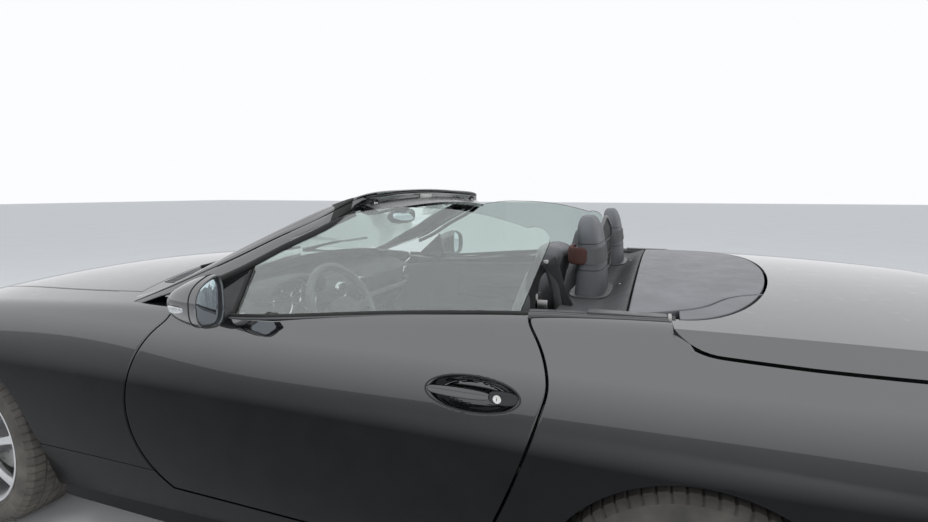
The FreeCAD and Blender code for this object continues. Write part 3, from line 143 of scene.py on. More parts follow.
# %% [markdown]
# ## Finishes
# A finish is a shader with its own grain: one noise moves the colour a little, another
# moves the roughness, and a third lifts the surface. Real paint, plastic and hide all
# differ mostly in how coarse those three are, so one helper serves them all.

# %% The finish helper
finishes = {}
DUST_COLOUR, DUST_FOOT = (0.16, 0.145, 0.125), 0.15
# Heights over which the coat's weight rises from its low value to its high one; the low coat near
# the ground is painted shade.
COAT_SHADE_FOOT, COAT_SHADE_TOP = 0.66, 0.84


def finish(name, colour, roughness, metallic=0.0, vary=0.12, vary_scale=9.0, grain=0.0,
           grain_scale=400.0, pattern="noise", rough_vary=0.08, dust=0.0, dust_top=0.6, coat_shade=None,
           **sockets):
    """Colour times a slow noise, roughness plus a middling noise, height from a fine pattern,
    and dust that thickens towards the ground as a second colour over the first. The coat's weight
    can run from one value near the ground to another at the shoulder; a low weight near
    the ground is painted shade that darkens the lower sides."""
    made = bpy.data.materials.new(name)
    made.use_nodes = True
    tree = made.node_tree
    shader = tree.nodes["Principled BSDF"]
    link, new = tree.links.new, tree.nodes.new
    place = new("ShaderNodeTexCoord").outputs["Object"]

    def texture(kind, scale):
        """A pattern node that reads its place from the object."""
        node = new("ShaderNodeTex" + kind)
        node.inputs["Scale"].default_value = scale
        link(place, node.inputs["Vector"])
        return node

    def noise(scale, detail=3.0):
        """The value of a noise, about 0.3 to 0.7."""
        node = texture("Noise", scale)
        node.inputs["Detail"].default_value = detail
        return node.outputs["Fac"]

    def height():
        """The place's height."""
        node = new("ShaderNodeSeparateXYZ")
        link(place, node.inputs[0])
        return node.outputs["Z"]

    def spread(source, low, high, start=0.3, end=0.7):
        """A value's run from start to end, carried over to low to high."""
        node = new("ShaderNodeMapRange")
        for socket, value in zip(("From Min", "From Max", "To Min", "To Max"),
                                 (start, end, low, high)):
            node.inputs[socket].default_value = value
        link(source, node.inputs["Value"])
        return node.outputs["Result"]

    def combine(operation, first, second):
        """Two values joined by one operation."""
        node = new("ShaderNodeMath")
        node.operation = operation
        link(first, node.inputs[0])
        link(second, node.inputs[1])
        return node.outputs[0]

    def mix(factor, first, second):
        """A colour between two, each fixed or from another node."""
        node = new("ShaderNodeMix")
        node.data_type = "RGBA"
        link(factor, node.inputs[0])
        for socket, value in ((6, first), (7, second)):
            if isinstance(value, tuple):
                node.inputs[socket].default_value = (*value, 1)
            else:
                link(value, node.inputs[socket])
        return node.outputs[2]

    light = tuple(min(1.0, c * (1 + vary)) for c in colour)
    dark = tuple(c * (1 - vary) for c in colour)
    shade = mix(spread(noise(vary_scale), 0.0, 1.0), dark, light)
    rough = spread(noise(vary_scale * 4), max(0.0, roughness - rough_vary),
                   min(1.0, roughness + rough_vary))
    if dust:
        film = combine("MULTIPLY", spread(height(), 1.0, 0.0, DUST_FOOT, dust_top),
                       spread(noise(14.0, 6.0), 0.25, 1.0))
        shade = mix(spread(film, 0.0, dust, 0.0, 1.0), shade, DUST_COLOUR)
        rough = combine("ADD", rough, spread(film, 0.0, dust * 0.9, 0.0, 1.0))
    # A low coat weight near the ground is painted shade: it takes the reflection off the lower
    # sides so that they read darker.
    if coat_shade:
        link(spread(height(), *coat_shade, COAT_SHADE_FOOT, COAT_SHADE_TOP), shader.inputs["Coat Weight"])
    link(shade, shader.inputs["Base Color"])
    link(rough, shader.inputs["Roughness"])
    if grain:
        if pattern == "cells":
            cell = texture("Voronoi", grain_scale)
            cell.feature = "SMOOTH_F1"
            relief = cell.outputs["Distance"]
        elif pattern == "weave":
            warp, weft = texture("Wave", grain_scale), texture("Wave", grain_scale)
            warp.bands_direction, weft.bands_direction = "Y", "Z"
            relief = combine("MAXIMUM", warp.outputs["Fac"], weft.outputs["Fac"])
        else:
            relief = noise(grain_scale, 2.0)
        bump = new("ShaderNodeBump")
        bump.inputs["Distance"].default_value = grain
        bump.inputs["Strength"].default_value = 1.0
        link(relief, bump.inputs["Height"])
        link(bump.outputs[0], shader.inputs["Normal"])
    shader.inputs["Metallic"].default_value = metallic
    for socket, value in sockets.items():
        title = socket.replace("_", " ").title().replace("Ior", "IOR")
        shader.inputs[title].default_value = value
    finishes[name] = made


print("a finish has a colour, a roughness and a grain")

# %% [markdown]
# ## The car's own finishes
# Black paint under a clear coat, tinted glass, grained hide, rubber with road dust, cast
# iron and polished steel. Each line gives a colour in linear light, a roughness, and what
# sets that material apart from the others.

# %% The car's finishes
# Paint: the coat weight is 0.03 near the ground and rises to 1.0 at the shoulder, painted shade
# that darkens the lower sides.
finish("paint", (0.004, 0.0042, 0.005), 0.3, vary=0.25, rough_vary=0.03, grain=0.00003,
       grain_scale=900, dust=0.02, dust_top=0.7, coat_shade=(0.03, 1.0), coat_roughness=0.02,
       coat_ior=2.55, specular_ior_level=0.05)
finish("black_plastic", (0.012, 0.012, 0.013), 0.42, grain=0.0002, grain_scale=1500, vary=0.2)
finish("seal", (0.010, 0.010, 0.010), 0.6, grain=0.0001, grain_scale=800, vary=0.3)
finish("underside", (0.030, 0.030, 0.032), 0.7, grain=0.0015, grain_scale=120, vary=0.4, dust=0.6)
finish("window", (0.88, 0.985, 0.94), 0.0, vary=0.01, rough_vary=0.0, transmission_weight=1.0,
       ior=2.15)
finish("lamp_glass", (0.96, 0.97, 0.98), 0.01, vary=0.01, rough_vary=0.0, transmission_weight=1.0,
       ior=1.45, coat_weight=1.0, coat_roughness=0.02)
finish("tail_glass", (0.75, 0.030, 0.035), 0.03, vary=0.1, rough_vary=0.01,
       transmission_weight=0.85, ior=1.45, coat_weight=1.0)
finish("plate_white", (0.62, 0.62, 0.60), 0.35, vary=0.06, grain=0.0001, grain_scale=700)
finish("carpet", (0.020, 0.020, 0.022), 0.9, vary=0.3, grain=0.0012, grain_scale=500,
       sheen_weight=0.2)
finish("trim", (0.022, 0.022, 0.024), 0.55, grain=0.0004, grain_scale=900, pattern="cells",
       vary=0.2)
finish("mesh", (0.015, 0.015, 0.016), 0.5, grain=0.001, grain_scale=300, pattern="weave")
finish("hide", (0.066, 0.069, 0.074), 0.48, grain=0.0005, grain_scale=700, pattern="cells",
       vary=0.25)
finish("hoop_cover", (0.078, 0.083, 0.090), 0.5, grain=0.0003, grain_scale=900, pattern="cells",
       vary=0.15)
finish("steel", (0.42, 0.41, 0.40), 0.32, metallic=1.0, grain=0.0002, grain_scale=300, vary=0.25)
finish("iron", (0.13, 0.125, 0.12), 0.6, metallic=0.6, grain=0.0008, grain_scale=200, vary=0.4,
       dust=0.4)
finish("wheel_silver", (0.56, 0.57, 0.58), 0.3, metallic=0.85, vary=0.06, grain=0.00005,
       grain_scale=1500, dust=0.25, dust_top=0.9)
finish("rubber", (0.020, 0.020, 0.021), 0.75, grain=0.0004, grain_scale=350, vary=0.35, dust=0.75,
       dust_top=1.1)
finish("deck_paint", (0.105, 0.106, 0.115), 0.42, vary=0.2, rough_vary=0.04, grain=0.00006,
       grain_scale=1200, specular_ior_level=0.35)
finish("deck_trim", (0.040, 0.041, 0.044), 0.62, vary=0.15, grain=0.0003, grain_scale=900,
       pattern="cells")
finish("rail_grey", (0.075, 0.076, 0.08), 0.42, metallic=0.2, vary=0.1, grain=0.0001,
       grain_scale=700)
finish("bright_steel", (0.72, 0.71, 0.69), 0.22, metallic=1.0, grain=0.0001, grain_scale=500,
       vary=0.1)
finish("gloss_trim", (0.010, 0.010, 0.011), 0.28, grain=0.0001, grain_scale=900, vary=0.2,
       coat_weight=0.6, coat_roughness=0.12)
finish("grille_grey", (0.14, 0.142, 0.148), 0.5, grain=0.0002, grain_scale=700, vary=0.15)
finish("clear_lens", (0.42, 0.43, 0.44), 0.08, vary=0.3, vary_scale=160, metallic=0.5, grain=0.0008,
       grain_scale=220, coat_weight=1.0, coat_roughness=0.03)
finish("strap", (0.085, 0.088, 0.092), 0.7, vary=0.15, grain=0.0006, grain_scale=160,
       pattern="weave")
finish("pad", (0.055, 0.024, 0.020), 0.75, vary=0.25, grain=0.0006, grain_scale=300,
       pattern="cells")
finish("webbing", (0.018, 0.018, 0.019), 0.7, vary=0.15, grain=0.0005, grain_scale=180,
       pattern="weave")
finish("mirror", (0.62, 0.68, 0.74), 0.02, metallic=1.0, vary=0.02, rough_vary=0.01)
finish("studio_floor", (0.74, 0.75, 0.76), 0.8, vary=0.015, vary_scale=1.2)
floor.data.materials.append(finishes["studio_floor"])
print(len(finishes), "finishes")

# %% [markdown]
# ## Dress the solids that keep their shape
# The record gives each solid a slot, and each slot has one finish here. A solid that a
# finer surface covers later is hidden then.

# %% Slots to finishes
SLOT_FINISH = {"paint": "paint", "bumper_paint": "paint", "underbody": "underside",
               "glass": "window", "lamp": "lamp_glass", "tail_lamp": "tail_glass", "trim": "trim",
               "grille": "mesh", "leather": "hide", "hoop": "hoop_cover", "deflector": "mesh",
               "steel": "steel", "iron": "iron", "rim": "wheel_silver", "tyre": "rubber"}
slot_of = {row["node"]: row["material_slot"] for row in frame["record"]["subparts"]}
for name, thing in nodes.items():
    thing.data.materials.clear()
    thing.data.materials.append(finishes[SLOT_FINISH[slot_of[name]]])
    thing.visible_shadow = slot_of[name] != "glass"
print("dressed", len(nodes), "solids")

# %% [markdown]
# ## The body's form
# The whole outer skin is one smooth form. Every section across the car is two arcs: a side
# arc from sill over waist to shoulder, and a top arc from shoulder over the crown. A table
# of sections is joined by smooth curves along the car, so one function can give any point.

# %% Sections joined by smooth curves
NOSE, TAIL = -2.041, 2.041
FRONT, REAR = -1.199, 1.231
ANCHORS = {"nose": NOSE, "front": FRONT, "rear": REAR, "tail": TAIL}
SECTIONS = [("nose", 0, 704, 165, 644, -90, 694, -365, 30),
            ("nose", 56, 494, 55, 414, -100, 474, -305, 50),
            ("nose", 141, 334, -10, 239, -110, 294, -245, 52),
            ("nose", 291, 194, -40, 94, -100, 149, -185, 62),
            ("front", -301, 119, -45, 29, -70, 74, -125, 65),
            ("front", 0, 94, -45, 10, -30, 52, -83, 70),
            ("front", 349, 94, -35, 12, -10, 49, -63, 84),
            ("front", 799, 94, -20, 18, -10, 62, -45, 90),
            ("rear", -1231, 94, -10, 16, -10, 82, -32, 62),
            ("rear", -781, 89, -5, 12, 0, 94, 0, 35), ("rear", -381, 82, 0, 6, 10, 94, 23, 32),
            ("rear", 0, 74, 0, 0, 30, 86, 30, 38), ("rear", 319, 94, 0, 14, 30, 104, 23, 47),
            ("tail", -241, 164, 25, 74, 20, 174, 10, 52),
            ("tail", -111, 284, 65, 194, 10, 294, 0, 54),
            ("tail", -41, 454, 125, 354, 0, 464, -20, 52),
            ("tail", 0, 664, 195, 564, -10, 674, -65, 32)]
rows = np.array([[ANCHORS[row[0]] * 1000, *row[1:]] for row in SECTIONS]) / 1000
HALF_WIDTH, SILL, WAIST, BELT = 0.894, 0.235, 0.570, 0.925
stations = np.column_stack([rows[:, 0] + rows[:, 1], HALF_WIDTH - rows[:, 2], SILL + rows[:, 3],
                            HALF_WIDTH - rows[:, 4], WAIST + rows[:, 5], HALF_WIDTH - rows[:, 6],
                            BELT + rows[:, 7], BELT + rows[:, 7] + rows[:, 8]])


def spline(knots, values, at):
    """A natural cubic spline: between two knots the value is a cubic whose second derivatives
    at the knots come from one set of linear equations, which makes slope and bend run on."""
    gap = np.diff(knots)[:, None]
    count = len(knots)
    inner = np.arange(1, count - 1)
    system = np.eye(count)
    system[inner, inner - 1] = gap[:-1, 0]
    system[inner, inner] = 2 * (gap[:-1, 0] + gap[1:, 0])
    system[inner, inner + 1] = gap[1:, 0]
    right = np.zeros_like(values)
    right[1:-1] = 6 * np.diff(np.diff(values, axis=0) / gap, axis=0)
    bend = np.linalg.solve(system, right)
    k = np.clip(np.searchsorted(knots, at) - 1, 0, count - 2)
    step = gap[k]
    b = (at - knots[k])[:, None] / step
    a = 1 - b
    return (a * values[k] + b * values[k + 1] + ((a ** 3 - a) * bend[k]
                                                 + (b ** 3 - b) * bend[k + 1]) * step ** 2 / 6)


chord = np.concatenate([[0], np.cumsum(np.hypot(np.diff(stations[:, 0]), np.diff(stations[:, 3])))])
FINE = 2400
fine_t = np.linspace(0, chord[-1], FINE)
fine = spline(chord, stations, fine_t)
print("sections run from", round(fine[0, 0], 3), "to", round(fine[-1, 0], 3), "m")

# %% [markdown]
# ## A point anywhere on the form
# With the section table as smooth curves, one function gives the point of the skin at any
# place along the car and any place round it. The others search that function for the
# places where the skin has a wanted height or width.

# %% A point of the skin
SHOULDER = 0.045


def body(t, v):
    """A point of the skin. t runs along the car, v round it: 0 is the crown, 1 the shoulder,
    2 the sill and 3 the middle of the underside, with a minus sign on the left. Each arc
    goes through three points of the section, and near the shoulder a quadratic curve
    between the two arcs' tangents rounds the corner."""
    t, v = np.broadcast_arrays(np.asarray(t, float), np.asarray(v, float))
    x, sy, sz, wy, wz, by, bz, cz = (np.interp(t, fine_t, fine[:, k]) for k in range(8))
    side, p = np.where(v < 0, -1.0, 1.0), np.abs(v)
    rise = cz - bz
    top_radius = (by ** 2 + rise ** 2) / (2 * rise)
    top_angle = np.arcsin(np.clip(by / top_radius, -1, 1))
    d = 2 * (sy * (wz - bz) + wy * (bz - sz) + by * (sz - wz))
    s2, w2, b2 = sy ** 2 + sz ** 2, wy ** 2 + wz ** 2, by ** 2 + bz ** 2
    cy = (s2 * (wz - bz) + w2 * (bz - sz) + b2 * (sz - wz)) / d
    cc = (s2 * (by - wy) + w2 * (sy - by) + b2 * (wy - sy)) / d
    radius = np.hypot(sy - cy, sz - cc)
    belt_angle, sill_angle = np.arctan2(bz - cc, by - cy), np.arctan2(sz - cc, sy - cy)
    length_top, length_side = top_radius * top_angle, radius * (belt_angle - sill_angle)

    def on_top(share):
        """Place and run of the top's arc at a share of its angle, from the middle to the belt."""
        a = top_angle * share
        return top_radius * np.sin(a), cz - top_radius * (1 - np.cos(a)), np.cos(a), -np.sin(a)

    def on_side(share):
        """Place and run of the side's arc at a share of its angle, from the belt to the sill."""
        a = belt_angle + (sill_angle - belt_angle) * share
        return cy + radius * np.cos(a), cc + radius * np.sin(a), np.sin(a), -np.cos(a)

    reach = np.minimum(SHOULDER, 0.35 * np.minimum(length_top, length_side))
    top_y, top_z, _, _ = on_top(np.clip(p, 0, 1))
    side_y, side_z, _, _ = on_side(np.clip(p - 1, 0, 1))
    ay, az, aty, atz = on_top(1 - reach / length_top)
    ey, ez, ety, etz = on_side(reach / length_side)
    cross = aty * etz - atz * ety
    run = ((ey - ay) * etz - (ez - az) * ety) / np.where(np.abs(cross) < 1e-9, 1e-9, cross)
    my, mz = ay + aty * run, az + atz * run
    near = np.where(p < 1, (p - 1) * length_top, (p - 1) * length_side)
    s = np.clip((near + reach) / (2 * reach), 0, 1)
    round_y = (1 - s) ** 2 * ay + 2 * s * (1 - s) * my + s ** 2 * ey
    round_z = (1 - s) ** 2 * az + 2 * s * (1 - s) * mz + s ** 2 * ez
    y = np.where(np.abs(near) < reach, round_y, np.where(p < 1, top_y, side_y))
    z = np.where(np.abs(near) < reach, round_z, np.where(p < 1, top_z, side_z))
    under = np.clip(p - 2, 0, 1)
    y = np.where(p > 2, sy * (1 - under), y)
    z = np.where(p > 2, sz, z)
    return np.stack([x, side * y, z], axis=-1)


def t_of(x):
    """The place along the car at which the skin is at x."""
    return np.interp(x, fine[:, 0], fine_t)


def v_at(t, measure, low=0.0, high=2.0):
    """The place round the section at which a falling measure of the point crosses nought,
    found by halving the interval forty times for all points at once."""
    t = np.asarray(t, float)
    a, b = np.full_like(t, low), np.full_like(t, high)
    for _ in range(40):
        middle = (a + b) / 2
        above = measure(body(t, middle)) > 0
        a, b = np.where(above, middle, a), np.where(above, b, middle)
    return (a + b) / 2


def at_height(x, z):
    """(t, v) of the right-hand points of the skin with these x and z."""
    t = t_of(x)
    return np.column_stack([t, v_at(t, lambda p: p[:, 2] - z)])


def at_width(x, y):
    """(t, v) of the points of the skin's top with these x and y, y being positive."""
    t = t_of(x)
    return np.column_stack([t, v_at(t, lambda p: y - p[:, 1], 0.0, 1.3)])


def end_spots(y, z, narrow, wide):
    """(t, v) of the skin's points with these y and z near one end of the car. The half
    width grows from x = narrow to x = wide, so the span of x is halved where it passes y."""
    y, z = np.broadcast_arrays(y, z)
    near, far = np.full(y.size, narrow), np.full(y.size, wide)
    for _ in range(18):
        middle = (near + far) / 2
        short = body(*at_height(middle, z.ravel()).T)[:, 1] < y.ravel()
        near, far = np.where(short, middle, near), np.where(short, far, middle)
    return at_height((near + far) / 2, z.ravel()).reshape(*y.shape, 2)


probe = body(t_of(np.array([0.0])), np.array([1.0]))[0]
print("shoulder abreast of the seats at", probe.round(3))

# %% [markdown]
# ## Panels cut from the form
# A real panel is pressed sheet: its edge is rolled over at every shut line and turned in.
# Each panel here is a patch between four edges drawn on the form. Its rim is rolled with
# a small radius and led inward, and an inner skin closes it, as in the real door.

# %% Patches and shells
def joined(*runs):
    """Runs of points laid end to end, without the doubled points."""
    line = np.vstack(runs)
    keep = np.concatenate([[True], np.hypot(*np.diff(line, axis=0).T) > 1e-7])
    return line[keep]


def straight(a, b, count=12):
    """Points on the straight line from a to b."""
    return np.linspace(a, b, count)


def bow(a, middle, b, count=24):
    """Points on the circle through a, middle and b, from a to b: the centre is where the
    upright bisectors meet, and the angle goes evenly the way that passes the middle."""
    (ax, ay), (mx, my), (bx, by) = a, middle, b
    d = 2 * (ax * (my - by) + mx * (by - ay) + bx * (ay - my))
    a2, m2, b2 = ax * ax + ay * ay, mx * mx + my * my, bx * bx + by * by
    ux = (a2 * (my - by) + m2 * (by - ay) + b2 * (ay - my)) / d
    uy = (a2 * (bx - mx) + m2 * (ax - bx) + b2 * (mx - ax)) / d
    start, end = math.atan2(ay - uy, ax - ux), math.atan2(by - uy, bx - ux)
    turn = (end - start) % (2 * math.pi)
    half = (math.atan2(my - uy, mx - ux) - start) % (2 * math.pi)
    if half > turn:
        turn -= 2 * math.pi
    angle = start + turn * np.linspace(0, 1, count)
    radius = math.hypot(ax - ux, ay - uy)
    return np.column_stack([ux + radius * np.cos(angle), uy + radius * np.sin(angle)])


def softened(line, radius, passes=40):
    """A line of points with its corners eased: it is cut into even steps of a fifth of the
    radius, and each point moves to the mean of its neighbours a number of times."""
    step = np.concatenate([[0], np.cumsum(np.hypot(*np.diff(line, axis=0).T))])
    even = np.linspace(0, step[-1], max(8, int(step[-1] / (radius / 5))))
    dense = np.column_stack([np.interp(even, step, line[:, k]) for k in range(line.shape[1])])
    for _ in range(passes):
        dense[1:-1] = (dense[:-2] + 2 * dense[1:-1] + dense[2:]) / 4
    return dense


def spaced(line, shares):
    """Points at shares of a line's length."""
    step = np.concatenate([[0], np.cumsum(np.sqrt((np.diff(line, axis=0) ** 2).sum(1)))])
    return np.column_stack([np.interp(np.asarray(shares) * step[-1], step, line[:, k])
                            for k in range(line.shape[1])])


def patch(low, high, left, right, across, up):
    """A grid between four edges: the mean of the two straight blends of facing edges, less
    the straight blend of the four corners. across and up are the shares at which the
    edges are read, so a grid can be finer where the form needs it."""
    low, high = spaced(low, across), spaced(high, across)
    left, right = spaced(left, up), spaced(right, up)
    u, v = np.asarray(across)[None, :, None], np.asarray(up)[:, None, None]
    corners = ((1 - u) * (1 - v) * low[0] + u * (1 - v) * low[-1] + (1 - u) * v * high[0]
               + u * v * high[-1])
    return ((1 - v) * low[None] + v * high[None] + (1 - u) * left[:, None] + u * right[:, None]
            - corners)


def unit(v):
    """Vectors divided by their lengths."""
    v = np.asarray(v, float)
    return v / np.maximum(np.linalg.norm(v, axis=-1, keepdims=True), 1e-12)


def normals_of(grid):
    """Unit normals of a grid of points: the cross product of its two slopes, down the rows
    and then along them."""
    return unit(np.cross(np.gradient(grid, axis=0), np.gradient(grid, axis=1)))


SLOPE_T, SLOPE_V = 0.003, 0.002


def skin(spots):
    """Points of the form at an array of (t, v), with its unit normals: the cross product of
    the slope along the car and the slope round it, which points outwards everywhere."""
    t, v = spots[..., 0], spots[..., 1]
    along = body(t + SLOPE_T, v) - body(t - SLOPE_T, v)
    around = body(t, v + SLOPE_V) - body(t, v - SLOPE_V)
    return body(t, v), unit(np.cross(along, around))


def grid_faces(rows, columns, start=0, close_rows=False, close_columns=False):
    """Four-cornered faces over a grid of numbered points."""
    index = np.arange(rows * columns).reshape(rows, columns) + start
    if close_rows:
        index = np.vstack([index, index[:1]])
    if close_columns:
        index = np.hstack([index, index[:, :1]])
    return np.stack([index[:-1, :-1], index[:-1, 1:], index[1:, 1:], index[1:, :-1]],
                    -1).reshape(-1, 4)


def single(name, form, look, ride="body", replaces=(), sharp=35):
    """Put a form's points and faces into a mesh, shade it smooth below an angle and set it
    on a body."""
    points, faces = form
    mesh = bpy.data.meshes.new(name)
    mesh.from_pydata(points.reshape(-1, 3).tolist(), [], faces)
    mesh.validate()
    mesh.shade_smooth()
    mesh.set_sharp_from_angle(angle=math.radians(sharp))
    mesh.materials.append(finishes[look])
    thing = bpy.data.objects.new(name, mesh)
    scene.collection.objects.link(thing)
    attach(thing, ride)
    if replaces:
        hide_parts(*replaces)


def twin(name, form, look, ride="body", replaces=(), sharp=35):
    """A form drawn on the right-hand side, placed there and mirrored onto the left. The
    mirrored copy has its faces turned round so that they still point outwards."""
    points, faces = form
    mirrored = points.reshape(-1, 3) * OTHER_SIDE, [face[::-1] for face in faces]
    for side, half in (("left", mirrored), ("right", form)):
        single("%s_%s" % (name, side), half, look, ride.format(side),
               [node.format(side) for node in replaces], sharp)


OTHER_SIDE = np.array([1, -1, 1])
ROLL = 0.0035
SUPPORT = 0.0025
PANEL_DEPTH = 0.030
TURN_IN = 0.0005


def shell(grid, depth=PANEL_DEPTH, roll=ROLL, bottom=0.004, normal=None):
    """Close a patch into a shell. Round its rim the surface turns through a quarter circle
    of the roll's radius, goes in by the depth, and an inner copy of the grid shuts it.
    The in-surface outward direction at the rim is the cross of rim tangent and normal."""
    rows, columns, _ = grid.shape
    normal = normals_of(grid) if normal is None else np.broadcast_to(normal, grid.shape)
    index = np.arange(rows * columns).reshape(rows, columns)
    rim = np.concatenate([index[0, :-1], index[:-1, -1], index[-1, :0:-1], index[:0:-1, 0]])
    edge, facing = grid.reshape(-1, 3)[rim], normal.reshape(-1, 3)[rim]
    out = unit(np.cross(unit(np.roll(edge, -1, 0) - np.roll(edge, 1, 0)), facing))
    if ((edge - grid.reshape(-1, 3).mean(0)) * out).sum() < 0:
        out = -out
    outer = grid.reshape(-1, 3).copy()
    outer[rim] = edge - out * (roll + SUPPORT)
    layers = [edge - out * roll]
    for angle in np.radians([30, 60, 90]):
        layers.append(edge - out * roll * (1 - math.sin(angle))
                      - facing * roll * (1 - math.cos(angle)))
    layers.append(edge - facing * (depth - bottom) - out * TURN_IN)
    inner = grid.reshape(-1, 3) - normal.reshape(-1, 3) * depth
    inner[rim] -= out * bottom
    count, ring = rows * columns, len(rim)
    inner_start = count + len(layers) * ring
    runs = [rim, *(count + k * ring + np.arange(ring) for k in range(len(layers))),
            rim + inner_start]
    faces = [grid_faces(rows, columns)[:, ::-1]]
    for first, second in zip(runs[:-1], runs[1:]):
        faces.append(np.stack([first, second, np.roll(second, -1), np.roll(first, -1)], -1))
    faces.append(grid_faces(rows, columns, inner_start))
    points, faces = np.vstack([outer, *layers, inner]), np.vstack(faces)
    if volume_of(points, faces) < 0:
        faces = faces[:, ::-1]
    return points, faces.tolist()


def volume_of(points, faces):
    """Signed volume inside four-cornered faces: a sixth of the sum of triple products of
    the two triangles of each face, positive when faces point outwards."""
    a, b, c, d = (points[faces[:, k]] for k in range(4))
    return ((a * np.cross(b, c)).sum() + (a * np.cross(c, d)).sum()) / 6


print("panel helpers ready")

# %% [markdown]
# ## Forms beside the panels
# Trim, mirrors, hoops and seats are either a section carried along a path, a profile
# turned about an axis, a block with rolled edges or a plate cut to an outline. These
# helpers make each as closed rings of points, so every piece is shut and points outward.

# %% Rings, sweeps, turned forms, blocks and plates
def mm(*rows):
    """Rows of millimetres as an array of metres."""
    return np.array(rows) / 1000


def outward(points, faces):
    """The faces as given, or turned round if the volume they hold comes out negative."""
    points = points.reshape(-1, 3)
    total = volume_of(points, np.array([f for f in faces if len(f) == 4]))
    for face in (f for f in faces if len(f) > 4):
        fan = points[face]
        total += (fan[0] * np.cross(fan[1:-1], fan[2:]).sum(0)).sum() / 6
    return points, faces if total > 0 else [f[::-1] for f in faces]


def ringed(rings, closed=False):
    """A skin over a run of rings, with a flat face on each end unless the run closes."""
    rings = np.asarray(rings)
    rows, count, _ = rings.shape
    faces = grid_faces(rows, count, close_rows=closed, close_columns=True).tolist()
    if not closed:
        faces += [list(range(count))[::-1], list(range((rows - 1) * count, rows * count))]
    return outward(rings, faces)


def merged(*forms):
    """Several forms as one set of points and faces."""
    points, faces, start = [], [], 0
    for spots, sides in forms:
        points.append(spots.reshape(-1, 3))
        faces += [[i + start for i in side] for side in sides]
        start += len(points[-1])
    return np.vstack(points), faces


def oval(half_a, half_b, power=2.0, count=48):
    """A ring with |a / half_a|^p + |b / half_b|^p = 1: an ellipse at p = 2, boxier above."""
    angle = np.linspace(0, 2 * math.pi, count, endpoint=False)
    c, s = np.cos(angle), np.sin(angle)
    return np.column_stack([half_a * np.sign(c) * np.abs(c) ** (2 / power),
                            half_b * np.sign(s) * np.abs(s) ** (2 / power)])


def eased(corners, radius, steps=6):
    """An outline whose corners are quadratic curves that start a radius before each corner
    and end a radius after it: (1-s)^2 a + 2 s (1-s) corner + s^2 b."""
    corners = np.asarray(corners, float)
    back, ahead = np.roll(corners, 1, 0), np.roll(corners, -1, 0)
    reach = np.minimum(radius, 0.45 * np.minimum(np.linalg.norm(corners - back, axis=1),
                                                 np.linalg.norm(ahead - corners, axis=1)))[:, None]
    a, b = corners + unit(back - corners) * reach, corners + unit(ahead - corners) * reach
    s = np.linspace(0, 1, steps)[None, :, None]
    return ((1 - s) ** 2 * a[:, None] + 2 * s * (1 - s) * corners[:, None]
            + s ** 2 * b[:, None]).reshape(-1, 2)


def inset(line, amount):
    """A closed outline moved inward along the mean of its edges' normals."""
    ahead = unit(np.roll(line, -1, 0) - line)
    normal = np.column_stack([-ahead[:, 1], ahead[:, 0]])
    turn = np.sign((line[:, 0] * np.roll(line[:, 1], -1)
                    - np.roll(line[:, 0], -1) * line[:, 1]).sum())
    return line + unit(normal + np.roll(normal, 1, 0)) * amount * turn


def plate(line, low, high, bevel, spot):
    """An outline given thickness, its edges bevelled; spot(a, b, level) places each point."""
    small = inset(line, bevel)
    levels = ((small, low), (line, low + bevel), (line, high - bevel), (small, high))
    return ringed([spot(ring[:, 0], ring[:, 1], level) for ring, level in levels])


def side_spot(a, b, level):
    """Place an outline drawn in X and Z at a level of Y."""
    return np.stack([a, np.broadcast_to(level, a.shape), b], -1)


def end_spot(a, b, level):
    """Place an outline drawn in Y and Z at a level of X."""
    return np.stack([np.broadcast_to(level, a.shape), a, b], -1)


def top_spot(a, b, level):
    """Place an outline drawn in X and Y at a level of Z."""
    return np.stack([a, b, np.broadcast_to(level, a.shape)], -1)


def block(low, high, radius, steps=4):
    """A box with rolled edges: rings of a rounded rectangle, drawn in at both ends along
    a quarter circle of the edge's radius."""
    low, high = np.asarray(low, float), np.asarray(high, float)
    centre, half = (low + high) / 2, (high - low) / 2
    angle = np.linspace(0, math.pi / 2, steps)
    insets = radius * (1 - np.sin(angle))
    depth = radius * (1 - np.cos(angle))
    rings = []
    for inward, level in [*zip(insets, depth - half[2]), *zip(insets[::-1], half[2] - depth[::-1])]:
        a, b = half[0] - inward, half[1] - inward
        ring = eased([(a, b), (-a, b), (-a, -b), (a, -b)], max(radius - inward, radius * 0.2))
        rings.append(np.column_stack([ring, np.full(len(ring), level)]) + centre)
    return ringed(rings)


def curve(points, count):
    """A smooth run through points: a natural cubic spline over the chord's length."""
    points = np.asarray(points, float)
    reach = np.concatenate([[0], np.cumsum(np.linalg.norm(np.diff(points, axis=0), axis=1))])
    return spline(reach, points, np.linspace(0, reach[-1], count))


def sweep(path, ring, up=(0, 0, 1), scale=1.0, closed=False):
    """A section carried along a path. Its first number runs along up x tangent and its
    second square to both; scale grows or shrinks the section from point to point."""
    path = np.asarray(path, float)
    along = unit(np.roll(path, -1, 0) - np.roll(path, 1, 0) if closed
                 else np.gradient(path, axis=0))
    side = unit(np.cross(np.broadcast_to(up, path.shape), along))
    lift = np.cross(along, side)
    ring = np.broadcast_to(ring, (len(path), *np.shape(ring)[-2:])) * np.reshape(scale, (-1, 1, 1))
    return ringed(path[:, None] + ring[..., :1] * side[:, None] + ring[..., 1:] * lift[:, None],
                  closed)


